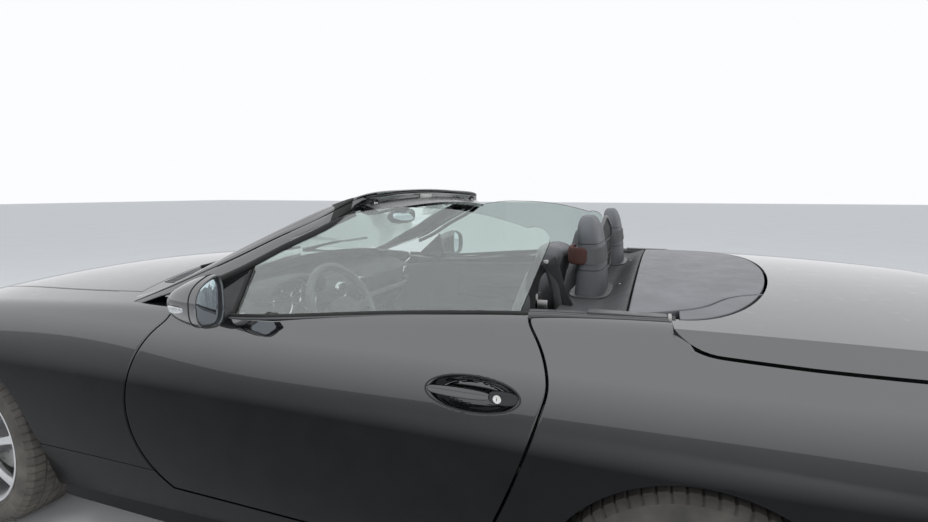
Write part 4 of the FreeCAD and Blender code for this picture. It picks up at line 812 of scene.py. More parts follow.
def turned(profile, origin, axis, count=48, closed=False):
    """A profile of (radius, distance along the axis) turned about an axis."""
    axis = unit(axis)
    across = unit(np.cross(axis, (0, 0, 1) if abs(axis[2]) < 0.9 else (1, 0, 0)))
    other = np.cross(axis, across)
    angle = np.linspace(0, 2 * math.pi, count, endpoint=False)[:, None]
    around = np.cos(angle) * across + np.sin(angle) * other
    profile = np.asarray(profile, float)
    return ringed(np.asarray(origin) + profile[:, None, :1] * around + profile[:, None, 1:] * axis,
                  closed)


print("form helpers ready")

# %% [markdown]
# ## Shut lines
# The lines round a door are drawn once, seen from the side, and then laid on the form.
# Its neighbours use the same lines grown by the gap, so the shut line is even.

# %% Lines of the doors
GAP = 0.0055
DOOR_FRONT, DOOR_REAR, DOOR_FOOT = FRONT + 0.815, REAR - 0.325, 0.329
SPLIT = 0.378
GLASS_Y, GLASS_Z, LEAN = 0.797, 0.885, math.tan(math.radians(34))
GLASS_GAP = 0.012


def glass_line(x, outward):
    """(t, v) where the skin meets the side glass, moved outward: the glass leans in by a
    fixed slope from a known half width at a known height."""
    t = t_of(x)
    return np.column_stack([t, v_at(t, lambda p: GLASS_Y - np.maximum(p[:, 2] - GLASS_Z, 0) * LEAN
                                    + outward - p[:, 1], 0.0, 1.3)])


def door_front_line(grow=0.0):
    """Door's front cut from the side, foot to top."""
    front, foot = DOOR_FRONT - grow, DOOR_FOOT - grow
    return joined(bow((front + 0.135, foot), (front, WAIST + 0.05), (front + 0.148, BELT - 0.064)),
                  straight((front + 0.148, BELT - 0.064), (front + 0.148, BELT + 0.2)))


def door_rear_line(grow=0.0):
    """Door's rear cut from the side, foot to top."""
    rear, foot = DOOR_REAR + grow, DOOR_FOOT - grow
    return joined(bow((rear - 0.190, foot), (rear - 0.070, BELT - 0.339), (rear, BELT - 0.125)),
                  bow((rear, BELT - 0.125), (rear - 0.019, BELT - 0.045),
                      (rear - 0.066, BELT + 0.021)),
                  straight((rear - 0.066, BELT + 0.021), (rear - 0.066, BELT + 0.2)))


def laid(line):
    """A side view line laid on the skin as (t, v), kept below the crown."""
    return at_height(line[:, 0], line[:, 1])


def crossing(line):
    """The part of a side line below the glass line, on the skin."""
    spots = laid(softened(line, 0.03, 12))
    return spots[spots[:, 1] > glass_line(body(*spots.T)[:, 0], GLASS_GAP)[:, 1]]


def share_steps(*parts):
    """Shares from 0 to 1 in stretches, each (end, steps)."""
    made, start = [np.array([0.0])], 0.0
    for end, steps in parts:
        made.append(np.linspace(start, end, steps + 1)[1:])
        start = end
    return np.concatenate(made)


def evenly(count):
    """Shares from 0 to 1 in even steps."""
    return share_steps((1, count))


print("door cut from", round(DOOR_FRONT, 3), "to", round(DOOR_REAR, 3), "m")

# %% [markdown]
# ## The doors' outer skins
# A door's skin lies between its foot, its two cuts and the line along the side glass. The
# pull handle's bowl is pressed into the grid of points before the edges are rolled.

# %% Door skins
HANDLE_X, HANDLE_Z = DOOR_REAR - 0.174, 0.774
HANDLE_HALF, HANDLE_TALL, HANDLE_DEEP = 0.119, 0.0415, 0.028

front_cut, rear_cut = crossing(door_front_line()), crossing(door_rear_line())
foot = at_height(np.linspace(DOOR_FRONT + 0.135, DOOR_REAR - 0.190, 60), np.full(60, DOOR_FOOT))
front_top, rear_top = body(*front_cut[-1])[0], body(*rear_cut[-1])[0]
top = glass_line(np.linspace(front_top, rear_top, 60), GLASS_GAP)
front_cut[0], rear_cut[0], front_cut[-1], rear_cut[-1] = foot[0], foot[-1], top[0], top[-1]
across = share_steps((0.72, 42), (0.97, 84), (1.0, 3))
up = share_steps((0.03, 3), (0.60, 26), (0.82, 44), (1.0, 12))
door_grid, door_normal = skin(patch(foot, top, front_cut, rear_cut, across, up))


def bowl(grid, normal):
    """Press the handle's bowl into a grid: inside an oval the skin sinks by a share of the
    depth that rises steeply at the rim and is flat in the middle."""
    reach = np.sqrt(((grid[..., 0] - HANDLE_X) / HANDLE_HALF) ** 2
                    + ((grid[..., 2] - HANDLE_Z) / HANDLE_TALL) ** 2)
    sink = 1 - np.clip((reach - 0.62) / 0.38, 0, 1)
    return grid - normal * (HANDLE_DEEP * (sink ** 2 * (3 - 2 * sink)))[..., None]


door_skin = shell(bowl(door_grid, door_normal), normal=door_normal)
twin("door_skin", door_skin, "paint", "door_{}", ["door_{}"])
print("door skin", len(door_skin[1]), "faces")

# %% [markdown]
# ## Fenders and quarters
# A fender is bounded by the wheel arch and the sill split below, by the door cut behind and
# by the bonnet line above. In front its edge climbs to the headlamp's top and follows that
# height round to the bonnet's nose line.

# %% Fenders
ARCH_FRONT, ARCH_REAR, AXLE_Z = 0.360, 0.342, 0.317
ARCH_TO_SEAM = 0.300
SEAM = FRONT - ARCH_TO_SEAM
BONNET_REAR, BONNET_CORNER = FRONT + 0.599, 0.700
BONNET_NOSE, NOSE_BOW, NOSE_HALF = NOSE + 0.261, NOSE + 0.111, 0.5
FENDER_FRONT_Z = 0.735


def arch_points(x, radius, start, end, count=60):
    """Points of a wheel arch's circle from one angle to another, in degrees from level."""
    angle = np.radians(np.linspace(start, end, count))
    return np.column_stack([x + radius * np.cos(angle), AXLE_Z + radius * np.sin(angle)])


def bonnet_side(grow):
    """The bonnet's side line from above, front corner to rear corner."""
    return bow((BONNET_NOSE, NOSE_HALF + grow), (FRONT + 0.049, 0.655 + grow),
               (BONNET_REAR + 0.1, BONNET_CORNER + grow), 60)


def nose_bow(count):
    """The bonnet's front line from above, from right to left."""
    return bow((BONNET_NOSE, NOSE_HALF), (NOSE_BOW, 0.0), (BONNET_NOSE, -NOSE_HALF), count)


seam_angle = math.degrees(math.acos(-ARCH_TO_SEAM / ARCH_FRONT))
split_angle = math.degrees(math.asin((SPLIT - AXLE_Z) / ARCH_FRONT))
door_line = door_front_line(GAP)
door_line = door_line[door_line[:, 1] >= SPLIT]
door_spots = laid(softened(door_line, 0.03, 12))
below = laid(joined(arch_points(FRONT, ARCH_FRONT, seam_angle, split_angle),
                    straight((FRONT + math.sqrt(ARCH_FRONT ** 2 - (SPLIT - AXLE_Z) ** 2), SPLIT),
                             (door_line[0, 0], SPLIT), 30)))
side_line = bonnet_side(GAP)
corner = side_line[-1]
above = np.vstack([at_width(side_line[:, 0], side_line[:, 1]),
                   at_width(np.linspace(corner[0] + 0.01, DOOR_FRONT + 0.148 - GAP, 12),
                            np.linspace(corner[1] + 0.002, 0.72, 12))])
door_spots = door_spots[door_spots[:, 1] > above[-1, 1]]
seam_foot = (SEAM, AXLE_Z + math.sqrt(ARCH_FRONT ** 2 - ARCH_TO_SEAM ** 2))
seam = np.vstack([laid(straight(seam_foot, (SEAM, 0.61), 10)),
                  laid(straight((SEAM - 0.005, 0.614), (SEAM - 0.17, FENDER_FRONT_Z), 12))])
nose_arc = nose_bow(121)[:60] - [GAP, 0]
nose_spots = at_width(nose_arc[:, 0], nose_arc[:, 1])
low_enough = int(np.argmin(body(*nose_spots.T)[:, 2] > FENDER_FRONT_Z))
above = np.vstack([nose_spots[:max(1, low_enough)][:0:-1], above])
tip_x = body(*above[:1].T)[0, 0]
seam = np.vstack([seam, laid(straight((SEAM - 0.175, FENDER_FRONT_Z), (tip_x, FENDER_FRONT_Z),
                                      16))])
seam[0], door_spots[0], door_spots[-1], seam[-1] = below[0], below[-1], above[-1], above[0]
fender_grid, fender_normal = skin(patch(below, above, seam, door_spots, evenly(110), evenly(50)))
fender_skin = shell(fender_grid, 0.016, normal=fender_normal)
twin("fender_skin", fender_skin, "paint", "body", ["front_fender_{}"])
print("fender skin", len(fender_skin[1]), "faces")

# %% [markdown]
# ## Rear quarters
# The quarter runs from the door cut back and round the tail's corner. Its lower edge is the
# arch and the bumper joint, and its upper edge is the deck's side and then the boot lid's
# cut. A strip joins the two quarters under the lid.

# %% Rear quarters
DECK_SIDE, DECK_HALF = REAR - 0.064, 0.743
BUMPER_JOINT, BUMPER_TOP = REAR + 0.365, 0.615
TAIL_SPAN, TAIL_HALF = (2.0405, 1.9), 0.486
TAIL_BACK = TAIL - 0.075


def lid_side(grow=0.0):
    """Boot lid's side cut from the side: down over the shoulder, then back to the tail."""
    side, belt = DECK_SIDE - grow, BELT - grow
    start, knee = (side - 0.01, belt + 0.035), (side + 0.09, belt - 0.014)
    bend = (side + 0.243, belt - 0.021)
    return joined(straight((side - 0.01, belt + 0.1), start, 6),
                  bow(start, (side + 0.026, belt + 0.004), knee), straight(knee, bend),
                  straight(bend, (TAIL_BACK, belt - 0.0385)))


def round_tail(start):
    """The edge carried on level from a spot, round the tail's corner."""
    point = body(*start[None].T)[0]
    across = np.linspace(point[1], TAIL_HALF, 31)[1:]
    return end_spots(across, np.full(30, point[2]), *TAIL_SPAN)


door_back = door_rear_line(GAP)
door_back = laid(softened(door_back[door_back[:, 1] >= SPLIT], 0.03, 12))
deck_edge = at_width(np.linspace(DOOR_REAR - 0.066 + GAP, DECK_SIDE - 0.01, 24),
                     np.full(24, DECK_HALF))
lid_edge = laid(softened(lid_side(GAP), 0.03, 12))
over = np.vstack([deck_edge, lid_edge[lid_edge[:, 1] > deck_edge[-1, 1]]])
door_back = door_back[door_back[:, 1] > deck_edge[0, 1]]
low_angle = 180 - math.degrees(math.asin((SPLIT - AXLE_Z) / ARCH_REAR))
under = laid(joined(straight((body(*door_back[0])[0], SPLIT),
                             (REAR - math.sqrt(ARCH_REAR ** 2 - (SPLIT - AXLE_Z) ** 2), SPLIT), 12),
                    arch_points(REAR, ARCH_REAR, low_angle, 2, 60),
                    straight((REAR + ARCH_REAR, AXLE_Z + 0.012), (BUMPER_JOINT, AXLE_Z + 0.012), 4),
                    straight((BUMPER_JOINT, AXLE_Z + 0.012), (BUMPER_JOINT, 0.56), 10),
                    straight((BUMPER_JOINT, 0.56), (REAR + 0.52, BUMPER_TOP), 10),
                    straight((REAR + 0.52, BUMPER_TOP), (TAIL_BACK, BUMPER_TOP), 10)))
under = np.vstack([under, round_tail(under[-1])])
over = np.vstack([over, round_tail(over[-1])])
low_z, high_z = body(*under[-1:].T)[0, 2], body(*over[-1:].T)[0, 2]
back = end_spots(np.full(24, TAIL_HALF), np.linspace(low_z, high_z, 24), *TAIL_SPAN)
door_back[0], door_back[-1], over[-1] = under[0], over[0], back[-1]
quarter_grid, quarter_normal = skin(patch(under, over, door_back, back, evenly(150), evenly(52)))
quarter_skin = shell(quarter_grid, 0.014, 0.003, 0.002, quarter_normal)
twin("quarter_skin", quarter_skin, "paint", "body", ["rear_quarter_{}"])
strip_y = np.linspace(-0.482, 0.482, 61)
strip_x = body(*end_spots(np.abs(strip_y), np.full(61, 0.634), *TAIL_SPAN).T)[:, 0]
strip = np.stack([np.column_stack([strip_x, strip_y, np.full(61, z)])
                  for z in np.linspace(0.618, 0.651, 5)])
single("tail_strip", shell(strip, 0.012, 0.003, normal=(1, 0, 0)), "paint")
print("quarter skin", len(quarter_skin[1]), "faces")

# %% [markdown]
# ## Bonnet
# The bonnet crosses the middle of the car, so its patch runs from the left edge to the
# right edge and is worked out once as a whole.

# %% Bonnet
def across_top(line):
    """A line over the top from right to left, laid on the skin with v signed."""
    spots = at_width(line[:, 0], np.abs(line[:, 1]))
    spots[:, 1] *= np.where(line[:, 1] < 0, -1, 1)
    return spots


side_edge, nose_line = bonnet_side(0.0), nose_bow(60)
right_edge = at_width(side_edge[:, 0], side_edge[:, 1])
rear_line = bow((BONNET_REAR + 0.1, BONNET_CORNER), (BONNET_REAR, 0.0),
                (BONNET_REAR + 0.1, -BONNET_CORNER), 60)
bonnet_grid, bonnet_normal = skin(patch(across_top(nose_line)[::-1], across_top(rear_line)[::-1],
                                        right_edge * [1, -1], right_edge, evenly(84), evenly(90)))
bonnet_skin = shell(bonnet_grid, 0.022, normal=bonnet_normal)
single("bonnet_skin", bonnet_skin, "paint", "bonnet", ["bonnet"])
print("bonnet skin", len(bonnet_skin[1]), "faces")

# %% [markdown]
# ## Door mirrors
# A mirror is a hollow shell on a short foot, with a flat glass set back inside its rim. The
# shell is a run of boxy ovals that swell quickly from the front and then turn back in at
# the rim to form the recess, so shell and recess are one closed skin.

# %% Mirrors on their sail plates
MIRROR_Y, MIRROR_Z, MIRROR_FRONT, MIRROR_BACK = 0.916, 0.938, -0.114, 0.022
MIRROR_HALF, MIRROR_TALL = 0.057, 0.066


def mirror_rings(swell, x, shrink=0.0):
    """Ovals across X whose size follows swell. Each is taller at its inner end and droops
    a little towards the outer one: height times 1 - 0.22 of the share outward."""
    rings = []
    for share, place, less in zip(swell, x, np.broadcast_to(shrink, np.shape(x))):
        ring = oval(MIRROR_HALF * share - less, MIRROR_TALL * share - less, 3.0, 64)
        outer = ring[:, 0] / MIRROR_HALF
        height = MIRROR_Z + 0.006 * share + ring[:, 1] * (1 - 0.22 * outer) - 0.006 * outer
        rings.append(np.column_stack([place + 0.016 * outer * (share - 0.55),
                                      MIRROR_Y + ring[:, 0] + 0.006 * (1 - share), height]))
    return rings


share = 1 - (1 - np.linspace(0.03, 1, 18)) ** 2
swell = np.sqrt(1 - (1 - share) ** 2) * (0.94 + 0.06 * share)
shell_x = MIRROR_FRONT + (MIRROR_BACK - 0.002 - MIRROR_FRONT) * share
rings = mirror_rings(swell, shell_x)
rings += mirror_rings([1, 1, 1, 1], [MIRROR_BACK, MIRROR_BACK, 0.010, 0.008],
                      [0.0018, 0.0055, 0.0085, 0.011])
twin("mirror_shell", ringed(rings), "paint", "door_{}", ["mirror_{}"])
bezel = mirror_rings([1, 1, 1, 1, 1], [0.009, 0.017, 0.018, 0.017, 0.009],
                     [0.006, 0.006, 0.007, 0.009, 0.010])
twin("mirror_bezel", ringed(bezel), "black_plastic", "door_{}")
pane = mirror_rings([1, 1, 1], [0.009, 0.0135, 0.014], [0.0095, 0.0095, 0.0105])
twin("mirror_glass", ringed(pane), "mirror", "door_{}")
band = mirror_rings(np.array([0.985, 1.003, 1.003, 0.985]), [-0.004, -0.0035, -0.0015, -0.001])
twin("mirror_seam", ringed(band), "seal", "door_{}")
lens_angle = np.radians(np.linspace(-58, 30, 30))
lens_path = np.column_stack([-0.040 + 0.055 * np.sin(lens_angle),
                             MIRROR_Y + 0.012 + 0.0425 * np.cos(lens_angle),
                             np.full(30, MIRROR_Z - 0.004)])
lens_size = np.sin(np.linspace(0.12, math.pi - 0.12, 30)) ** 0.5
twin("mirror_lens", sweep(lens_path, oval(0.0040, 0.0095, 2.6, 24), scale=lens_size), "clear_lens",
     "door_{}")
foot_path = curve(mm((-36, 872, 884), (-48, 840, 880), (-60, 806, 886), (-66, 776, 892)), 16)
twin("mirror_foot", sweep(foot_path, oval(0.034, 0.011, 3.0, 32), scale=np.linspace(0.75, 1.3, 16)),
     "black_plastic", "door_{}")


def glass_spot(a, b, level):
    """Place an outline drawn in X and Z on the side glass's plane; level is outward."""
    return np.stack([a, GLASS_Y - (b - GLASS_Z) * LEAN + level * 1.2, b], -1)


sail = eased(mm((-168, 868), (-163, 893), (-40, 985), (-24, 998), (-21, 868)), 0.008)
twin("sail_plate", plate(sail, -0.004, 0.0045, 0.0015, glass_spot), "black_plastic", "door_{}")
strip = eased(mm((-20.5, 866), (-20.5, 1004), (-10, 1010), (-10.5, 866)), 0.002)
twin("sail_strip", plate(strip, -0.007, 0.0085, 0.002, glass_spot), "seal", "door_{}")
print("mirrors ready")

# %% [markdown]
# ## Door furniture
# The handle is a bar across a pressed bowl, with the key's lock in a cap at its rear end.
# A rubber strip wipes the glass along the belt, and a lined card closes the door inside.

# %% Handle, belt strip and lining
def skin_y(x, z):
    """Half width of the skin at points seen from the side."""
    return body(*at_height(np.atleast_1d(x), np.atleast_1d(z)).T)[:, 1]


def handle_run(start, end, size, name, look, proud=0.0):
    """A stretch of the handle's bar: its middle follows the skin, stands out in the middle
    of its length, and its section swells and then closes at both ends."""
    x = HANDLE_X + np.linspace(start, end, 41)
    s = (x - HANDLE_X) / 0.113
    y = skin_y(x, np.full(41, HANDLE_Z)) - 0.0045 + 0.0105 * (1 - s ** 2) + proud
    grow = np.clip(np.sin(np.linspace(0.06, math.pi - 0.06, 41)) ** 0.22, 0.3, 1)
    path = np.column_stack([x, y, HANDLE_Z + 0.002 - 0.004 * s ** 2])
    twin(name, sweep(path, oval(*size, 2.8, 36), scale=grow), look, "door_{}")


handle_run(-0.112, 0.0445, (0.0085, 0.0128), "handle_bar", "paint")
handle_run(0.0455, 0.112, (0.0080, 0.0165), "handle_cap", "black_plastic", -0.001)
lip_angle = np.linspace(0, 2 * math.pi, 96, endpoint=False)
lip_x = HANDLE_X + (HANDLE_HALF - 0.0015) * np.cos(lip_angle)
lip_z = HANDLE_Z + (HANDLE_TALL - 0.001) * np.sin(lip_angle)
lip_path = np.column_stack([lip_x, skin_y(lip_x, lip_z) - 0.0002, lip_z])
twin("handle_lip", sweep(lip_path, oval(0.0022, 0.0018, 2, 12), up=(0, 1, 0), closed=True),
     "black_plastic", "door_{}")
lock = mm((0.5, 4.5), (5.5, 4.3), (6, 3.4), (7.8, 4), (9.8, 3), (10.4, 0.5), (10.4, -10))
LOCK_X = HANDLE_X + 0.066
lock_place = np.array([LOCK_X, skin_y(LOCK_X, HANDLE_Z)[0] + 0.0085, HANDLE_Z + 0.0005])
twin("handle_lock", turned(lock, lock_place, (0, 1, 0), 32), "bright_steel", "door_{}")
lock_half = np.array([0.0010, 0.0007, 0.0034])
slit = block(lock_place + [0, 0.0042, 0] - lock_half, lock_place + [0, 0.0042, 0] + lock_half,
             0.0004, 3)
twin("lock_slit", slit, "seal", "door_{}")

belt_x = np.linspace(front_top + 0.002, rear_top - 0.002, 80)
belt_path = body(*glass_line(belt_x, 0.007).T) - [0, 0, 0.001]
twin("belt_strip", sweep(belt_path, oval(0.006, 0.0065, 2.6, 20)), "seal", "door_{}")
belt_trim = belt_path + [0, 0.0075, -0.0045]
twin("belt_trim", sweep(belt_trim, oval(0.0035, 0.0030, 2.4, 16)), "rail_grey", "door_{}")

LINING, LINING_RELIEF = 0.692, 0.029
columns, rows_up = np.linspace(0, 1, 110), np.linspace(0, 1, 70)
low_edge = spaced(mm((-268, 372), (660, 372)), columns)
high_edge = spaced(mm((-262, 822), (20, 846), (420, 862), (800, 880)), columns)
front_edge = spaced(mm((-268, 372), (-312, 520), (-322, 640), (-300, 750), (-262, 822)), rows_up)
rear_edge = spaced(mm((660, 372), (770, 530), (842, 680), (866, 800), (800, 880)), rows_up)
card = patch(low_edge, high_edge, front_edge, rear_edge, columns, rows_up)
cx, cz = card[..., 0], card[..., 1]


def bump_box(x, z, middle, half, soft):
    """1 inside a rectangle, falling smoothly to 0 over a soft border outside it."""
    far = np.maximum(np.abs(x - middle[0]) - half[0], np.abs(z - middle[1]) - half[1])
    s = np.clip(1 - far / soft, 0, 1)
    return s * s * (3 - 2 * s)


grid_wave = np.hypot(cx + 0.14, cz - 0.50)
card_in = (0.022 * bump_box(cx, cz, (0.16, 0.47), (0.34, 0.045), 0.02)
           + 0.016 * bump_box(cx, cz, (0.32, 0.735), (0.20, 0.050), 0.025)
           - 0.006 * bump_box(cx, cz, (0.30, 0.640), (0.36, 0.022), 0.02)
           + 0.003 * (grid_wave < 0.085) * np.cos(grid_wave * 500))
card_grid = np.stack([cx, LINING + LINING_RELIEF - card_in, cz], -1)
twin("door_lining", shell(card_grid, 0.050, 0.006, 0.006, (0, -1, 0)), "trim", "door_{}")
pull = curve(mm((200, 708, 735), (220, 698, 738), (320, 695, 742), (420, 698, 745),
                (440, 708, 746)), 30)
twin("door_pull", sweep(pull, oval(0.004, 0.011, 2.6, 20)), "black_plastic", "door_{}")
print("door furniture ready")

# %% [markdown]
# ## Windscreen frame
# Pillars and header are one pressed frame. Four lines run from one foot over the header to
# the other: the edge over the glass, the outer corner, the edge on the door's seal and a
# hidden inner one. A rounded section with a drip channel is spread between the four.

# %% Pillars, header and seals
OVER = mm((-470, 741, 900), (-375, 714, 931), (-257.5, 677, 990), (-128, 636, 1061),
          (-2, 597, 1124), (122, 558, 1182), (190, 500, 1213), (178, 260, 1232), (166, 0, 1237.5))
CORNER = mm((-440, 778, 893), (-330, 752, 940), (-200, 712, 1001), (-80, 673, 1058),
            (36, 634, 1114), (150, 597, 1166), (262, 548, 1226.5), (259, 290, 1244.5),
            (258, 0, 1249.5))
SEALED = mm((-420, 790, 880), (-261, 768, 934), (-154, 745, 968), (-51, 716, 1011), (65, 672, 1076),
            (163, 640, 1124), (250, 560, 1176), (250, 290, 1192), (249, 0, 1198))
HIDDEN = mm((-440, 742, 880), (-350, 716, 908), (-230, 682, 962), (-105, 646, 1026),
            (18, 606, 1086), (135, 572, 1140), (205, 500, 1176), (190, 260, 1196), (180, 0, 1201))


def whole_line(half, count=201):
    """A line of the frame's right half, mirrored and joined by one smooth curve over the
    numbers of its points."""
    whole = np.vstack([(half * OTHER_SIDE)[:-1], half[::-1]])
    return spline(np.arange(len(whole)) * 1.0, whole, np.linspace(0, len(whole) - 1, count))


over, corner, sealed, hidden = (whole_line(line) for line in (OVER, CORNER, SEALED, HIDDEN))
FRAME_SECTION = np.array([(0.04, 0.10), (0.00, 0.22), (0.00, 0.60), (0.02, 0.72), (0.07, 0.72),
                          (0.08, 0.80), (0.02, 0.84), (0.02, 0.93), (0.08, 1.00), (0.30, 1.02),
                          (0.33, 0.93), (0.38, 0.93), (0.41, 1.02), (0.70, 1.02), (0.92, 0.99),
                          (1.00, 0.90), (1.00, 0.30), (0.94, 0.06), (0.80, 0.00), (0.20, 0.00)])


def between(section, low_in, low_out, high_out, high_in):
    """Section numbers (inward, upward) spread between four corner lines: each point is the
    sum of the corners, weighed by how near it is to each."""
    a, b = section[None, :, :1], section[None, :, 1:]
    return ((1 - a) * (1 - b) * low_out[:, None] + (1 - a) * b * high_out[:, None]
            + a * b * high_in[:, None] + a * (1 - b) * low_in[:, None])


frame_rings = between(FRAME_SECTION, hidden, sealed, corner, over)
single("screen_frame", ringed(frame_rings), "paint", replaces=["windscreen_frame"],
       sharp=30)

half_turn = np.linspace(-1, 1, 121)
header_line = np.column_stack([0.2525 - 0.004 * half_turn ** 2, 0.520 * half_turn,
                               1.2150 - 0.0210 * half_turn ** 2])
HEADER_RING = mm((12, 20), (13.5, 8), (11, -8), (4, -22), (-20, -30), (-55, -28), (-60, -18),
                 (-40, -8), (-4, 6), (2, 20))
single("header_trim", sweep(header_line, HEADER_RING), "gloss_trim", sharp=50)
lip_line = header_line + [0.0125, 0, 0.0235]
single("header_lip", sweep(lip_line, oval(0.004, 0.003, 2.4, 16)), "seal")
middle = frame_rings.mean(1, keepdims=True)
for name, part in (("left", slice(67, 74)), ("right", slice(127, 134))):
    collar = middle[part] + (frame_rings[part] - middle[part]) * 1.07
    single("corner_seal_" + name, ringed(collar), "seal")
seal_path = curve(mm((-150, 749, 962), (-51, 718, 1004), (65, 674, 1069), (163, 642, 1117),
                     (225, 612, 1150), (262, 580, 1172)), 60)
twin("pillar_seal", sweep(seal_path, oval(0.007, 0.010, 2.4, 20), up=(-0.3, 0.5, 0.8)), "seal")
cup = mm((0.5, -14), (11, -14), (12.5, -12), (13, -1), (16.5, 1), (19.5, 0), (20.5, -3),
         (20.5, -16))
twin("latch_cup", turned(cup, (0.2655, 0.462, 1.1975), (0.95, 0, -0.1), 40), "trim")
twin("latch_hook", merged(block((0.2560, 0.452, 1.190), (0.2660, 0.459, 1.205), 0.002),
                          block((0.2560, 0.466, 1.190), (0.2660, 0.473, 1.205), 0.002)),
     "bright_steel")
single("latch_plate", block((0.262, -0.132, 1.2045), (0.2695, -0.026, 1.2305), 0.003), "steel")
single("mirror_stem", sweep(curve(mm((170, 0, 1200), (150, 0, 1175), (132, 0, 1152)), 10),
                            oval(0.008, 0.008, 2, 16), up=(0, 1, 0)), "black_plastic")


def mirror_ovals(*rows):
    """Ovals across X about the inner mirror's middle, each (x, drawn in by) in millimetres."""
    return ringed([np.column_stack([np.full(48, x),
                                    oval(0.105 - less, 0.030 - less, 3.2, 48) + [0, 1.137]])
                   for x, less in mm(*rows)])


single("inner_mirror", mirror_ovals((105, 22), (108, 10), (119, 2), (131, 0), (134, 2), (133, 5),
                                    (131, 7)), "black_plastic")
single("inner_glass", mirror_ovals((131.2, 7.2), (132.8, 7.2), (133.2, 8)), "mirror")
print("windscreen frame ready")

# %% [markdown]
# ## Cowl
# Between bonnet and windscreen lies a plastic panel whose comb of short bars lets air into
# the heater and keeps leaves out. Two wiper arms rest on it along the foot of the glass.

# %% Comb of bars and wipers
comb = []
for y in np.linspace(-0.60, 0.60, 85):
    foot_x = -0.585 + 0.100 * (y / 0.70) ** 2
    bar_x = np.linspace(foot_x, foot_x + 0.082, 6)
    bar_z = body(*at_width(bar_x, np.full(6, abs(y))).T)[:, 2] + 0.0006
    comb.append(sweep(np.column_stack([bar_x, np.full(6, y), bar_z]), oval(0.0022, 0.0028, 3, 8)))
single("cowl_comb", merged(*comb), "grille_grey")
for name, pivot_y, reach in (("left", -0.52, 0.50), ("right", 0.06, 0.50)):
    arm = curve([(-0.415, pivot_y, 0.958), (-0.400, pivot_y + 0.10, 0.978),
                 (-0.385, pivot_y + reach * 0.5, 0.990)], 24)
    single("wiper_arm_" + name, sweep(arm, oval(0.008, 0.004, 3, 16),
                                      scale=np.linspace(1.3, 0.7, 24)), "black_plastic")
    blade = curve([(-0.404, pivot_y - 0.02, 0.972), (-0.386, pivot_y + 0.25, 0.989),
                   (-0.392, pivot_y + reach + 0.02, 0.988)], 40)
    single("wiper_blade_" + name, sweep(blade, oval(0.004, 0.006, 2.6, 14)), "seal")
print("cowl ready")

# %% [markdown]
# ## Behind the seats
# The roll hoops hide under padded covers that lean forward, each with a strap, a pad and two
# seams. A netted frame between them keeps the wind off.

# %% Roll hoop covers, strap and wind deflector
HOOP_Y, HOOP_FOOT, HOOP_DOME, HOOP_TOP = 0.360, 0.941, 1.100, 1.168


def hoop_rings(levels, grow=0.0):
    """Boxy ovals up the leaning cover: narrower and thinner with height, then drawn in
    along an ellipse over the last 60 mm to make the rounded top."""
    rings = []
    for z in levels:
        share = (z - HOOP_FOOT) / (HOOP_TOP - HOOP_FOOT)
        over_dome = max(0.0, (z - HOOP_DOME) / (HOOP_TOP + 0.0006 - HOOP_DOME))
        dome = np.sqrt(max(0.0, 1 - over_dome ** 2.4))
        half_y = (0.124 - 0.010 * share) * (0.30 + 0.70 * dome) + grow
        half_x = (0.043 - 0.014 * share) * (0.35 + 0.65 * dome) + grow
        ring = oval(half_x, half_y, 3.4, 72)
        middle = 0.940 - 0.016 * share + 0.006 * math.sin(share * math.pi)
        rings.append(np.column_stack([middle + ring[:, 0], HOOP_Y + ring[:, 1], np.full(72, z)]))
    return rings


levels = np.concatenate([np.linspace(HOOP_FOOT, HOOP_DOME, 24),
                         HOOP_DOME + (HOOP_TOP - HOOP_DOME)
                         * np.sin(np.linspace(0.05, math.pi / 2, 22))])
twin("hoop_cover", ringed(hoop_rings(levels)), "hoop_cover", replaces=["roll_hoops"])
twin("hoop_foot", ringed(hoop_rings([0.9405, 0.9412, 0.9450, 0.9456], 0.014)), "deck_trim")
twin("hoop_bead", ringed(hoop_rings([0.9440, 0.9446, 0.9466, 0.9470], 0.0145)), "rail_grey")
twin("hoop_strap", ringed(hoop_rings([1.037, 1.0385, 1.0790, 1.0805], 0.0034)), "strap")
pad_path = curve(mm((938, 478, 1059), (905, 472, 1059), (890, 452, 1059), (886, 410, 1059),
                    (888, 372, 1059)), 30)
pad_size = np.clip(np.sin(np.linspace(0.2, math.pi - 0.2, 30)) * 3, 0.4, 1)
twin("strap_pad", sweep(pad_path, oval(0.008, 0.0245, 4.0, 32), scale=pad_size), "pad")
for level, name in ((1.018, "low"), (1.092, "high")):
    twin("hoop_seam_" + name, ringed(hoop_rings([level, level + 0.0004, level + 0.0018,
                                                 level + 0.0022], 0.0006)), "seal")
screw = mm((0.5, 2.5), (4.5, 2.4), (6.2, 1.2), (7, -4))
twin("hoop_screw", turned(screw, (0.978, HOOP_Y, 0.968), (1, 0, 0.15), 24), "steel")
knob = mm((0.5, 16), (6, 15.5), (8.5, 12), (7.5, 6), (5, 2), (10.5, 0.5), (11, -4))
twin("shelf_knob", turned(knob, (1.018, 0.300, 0.943), (0, 0, 1), 28), "steel")

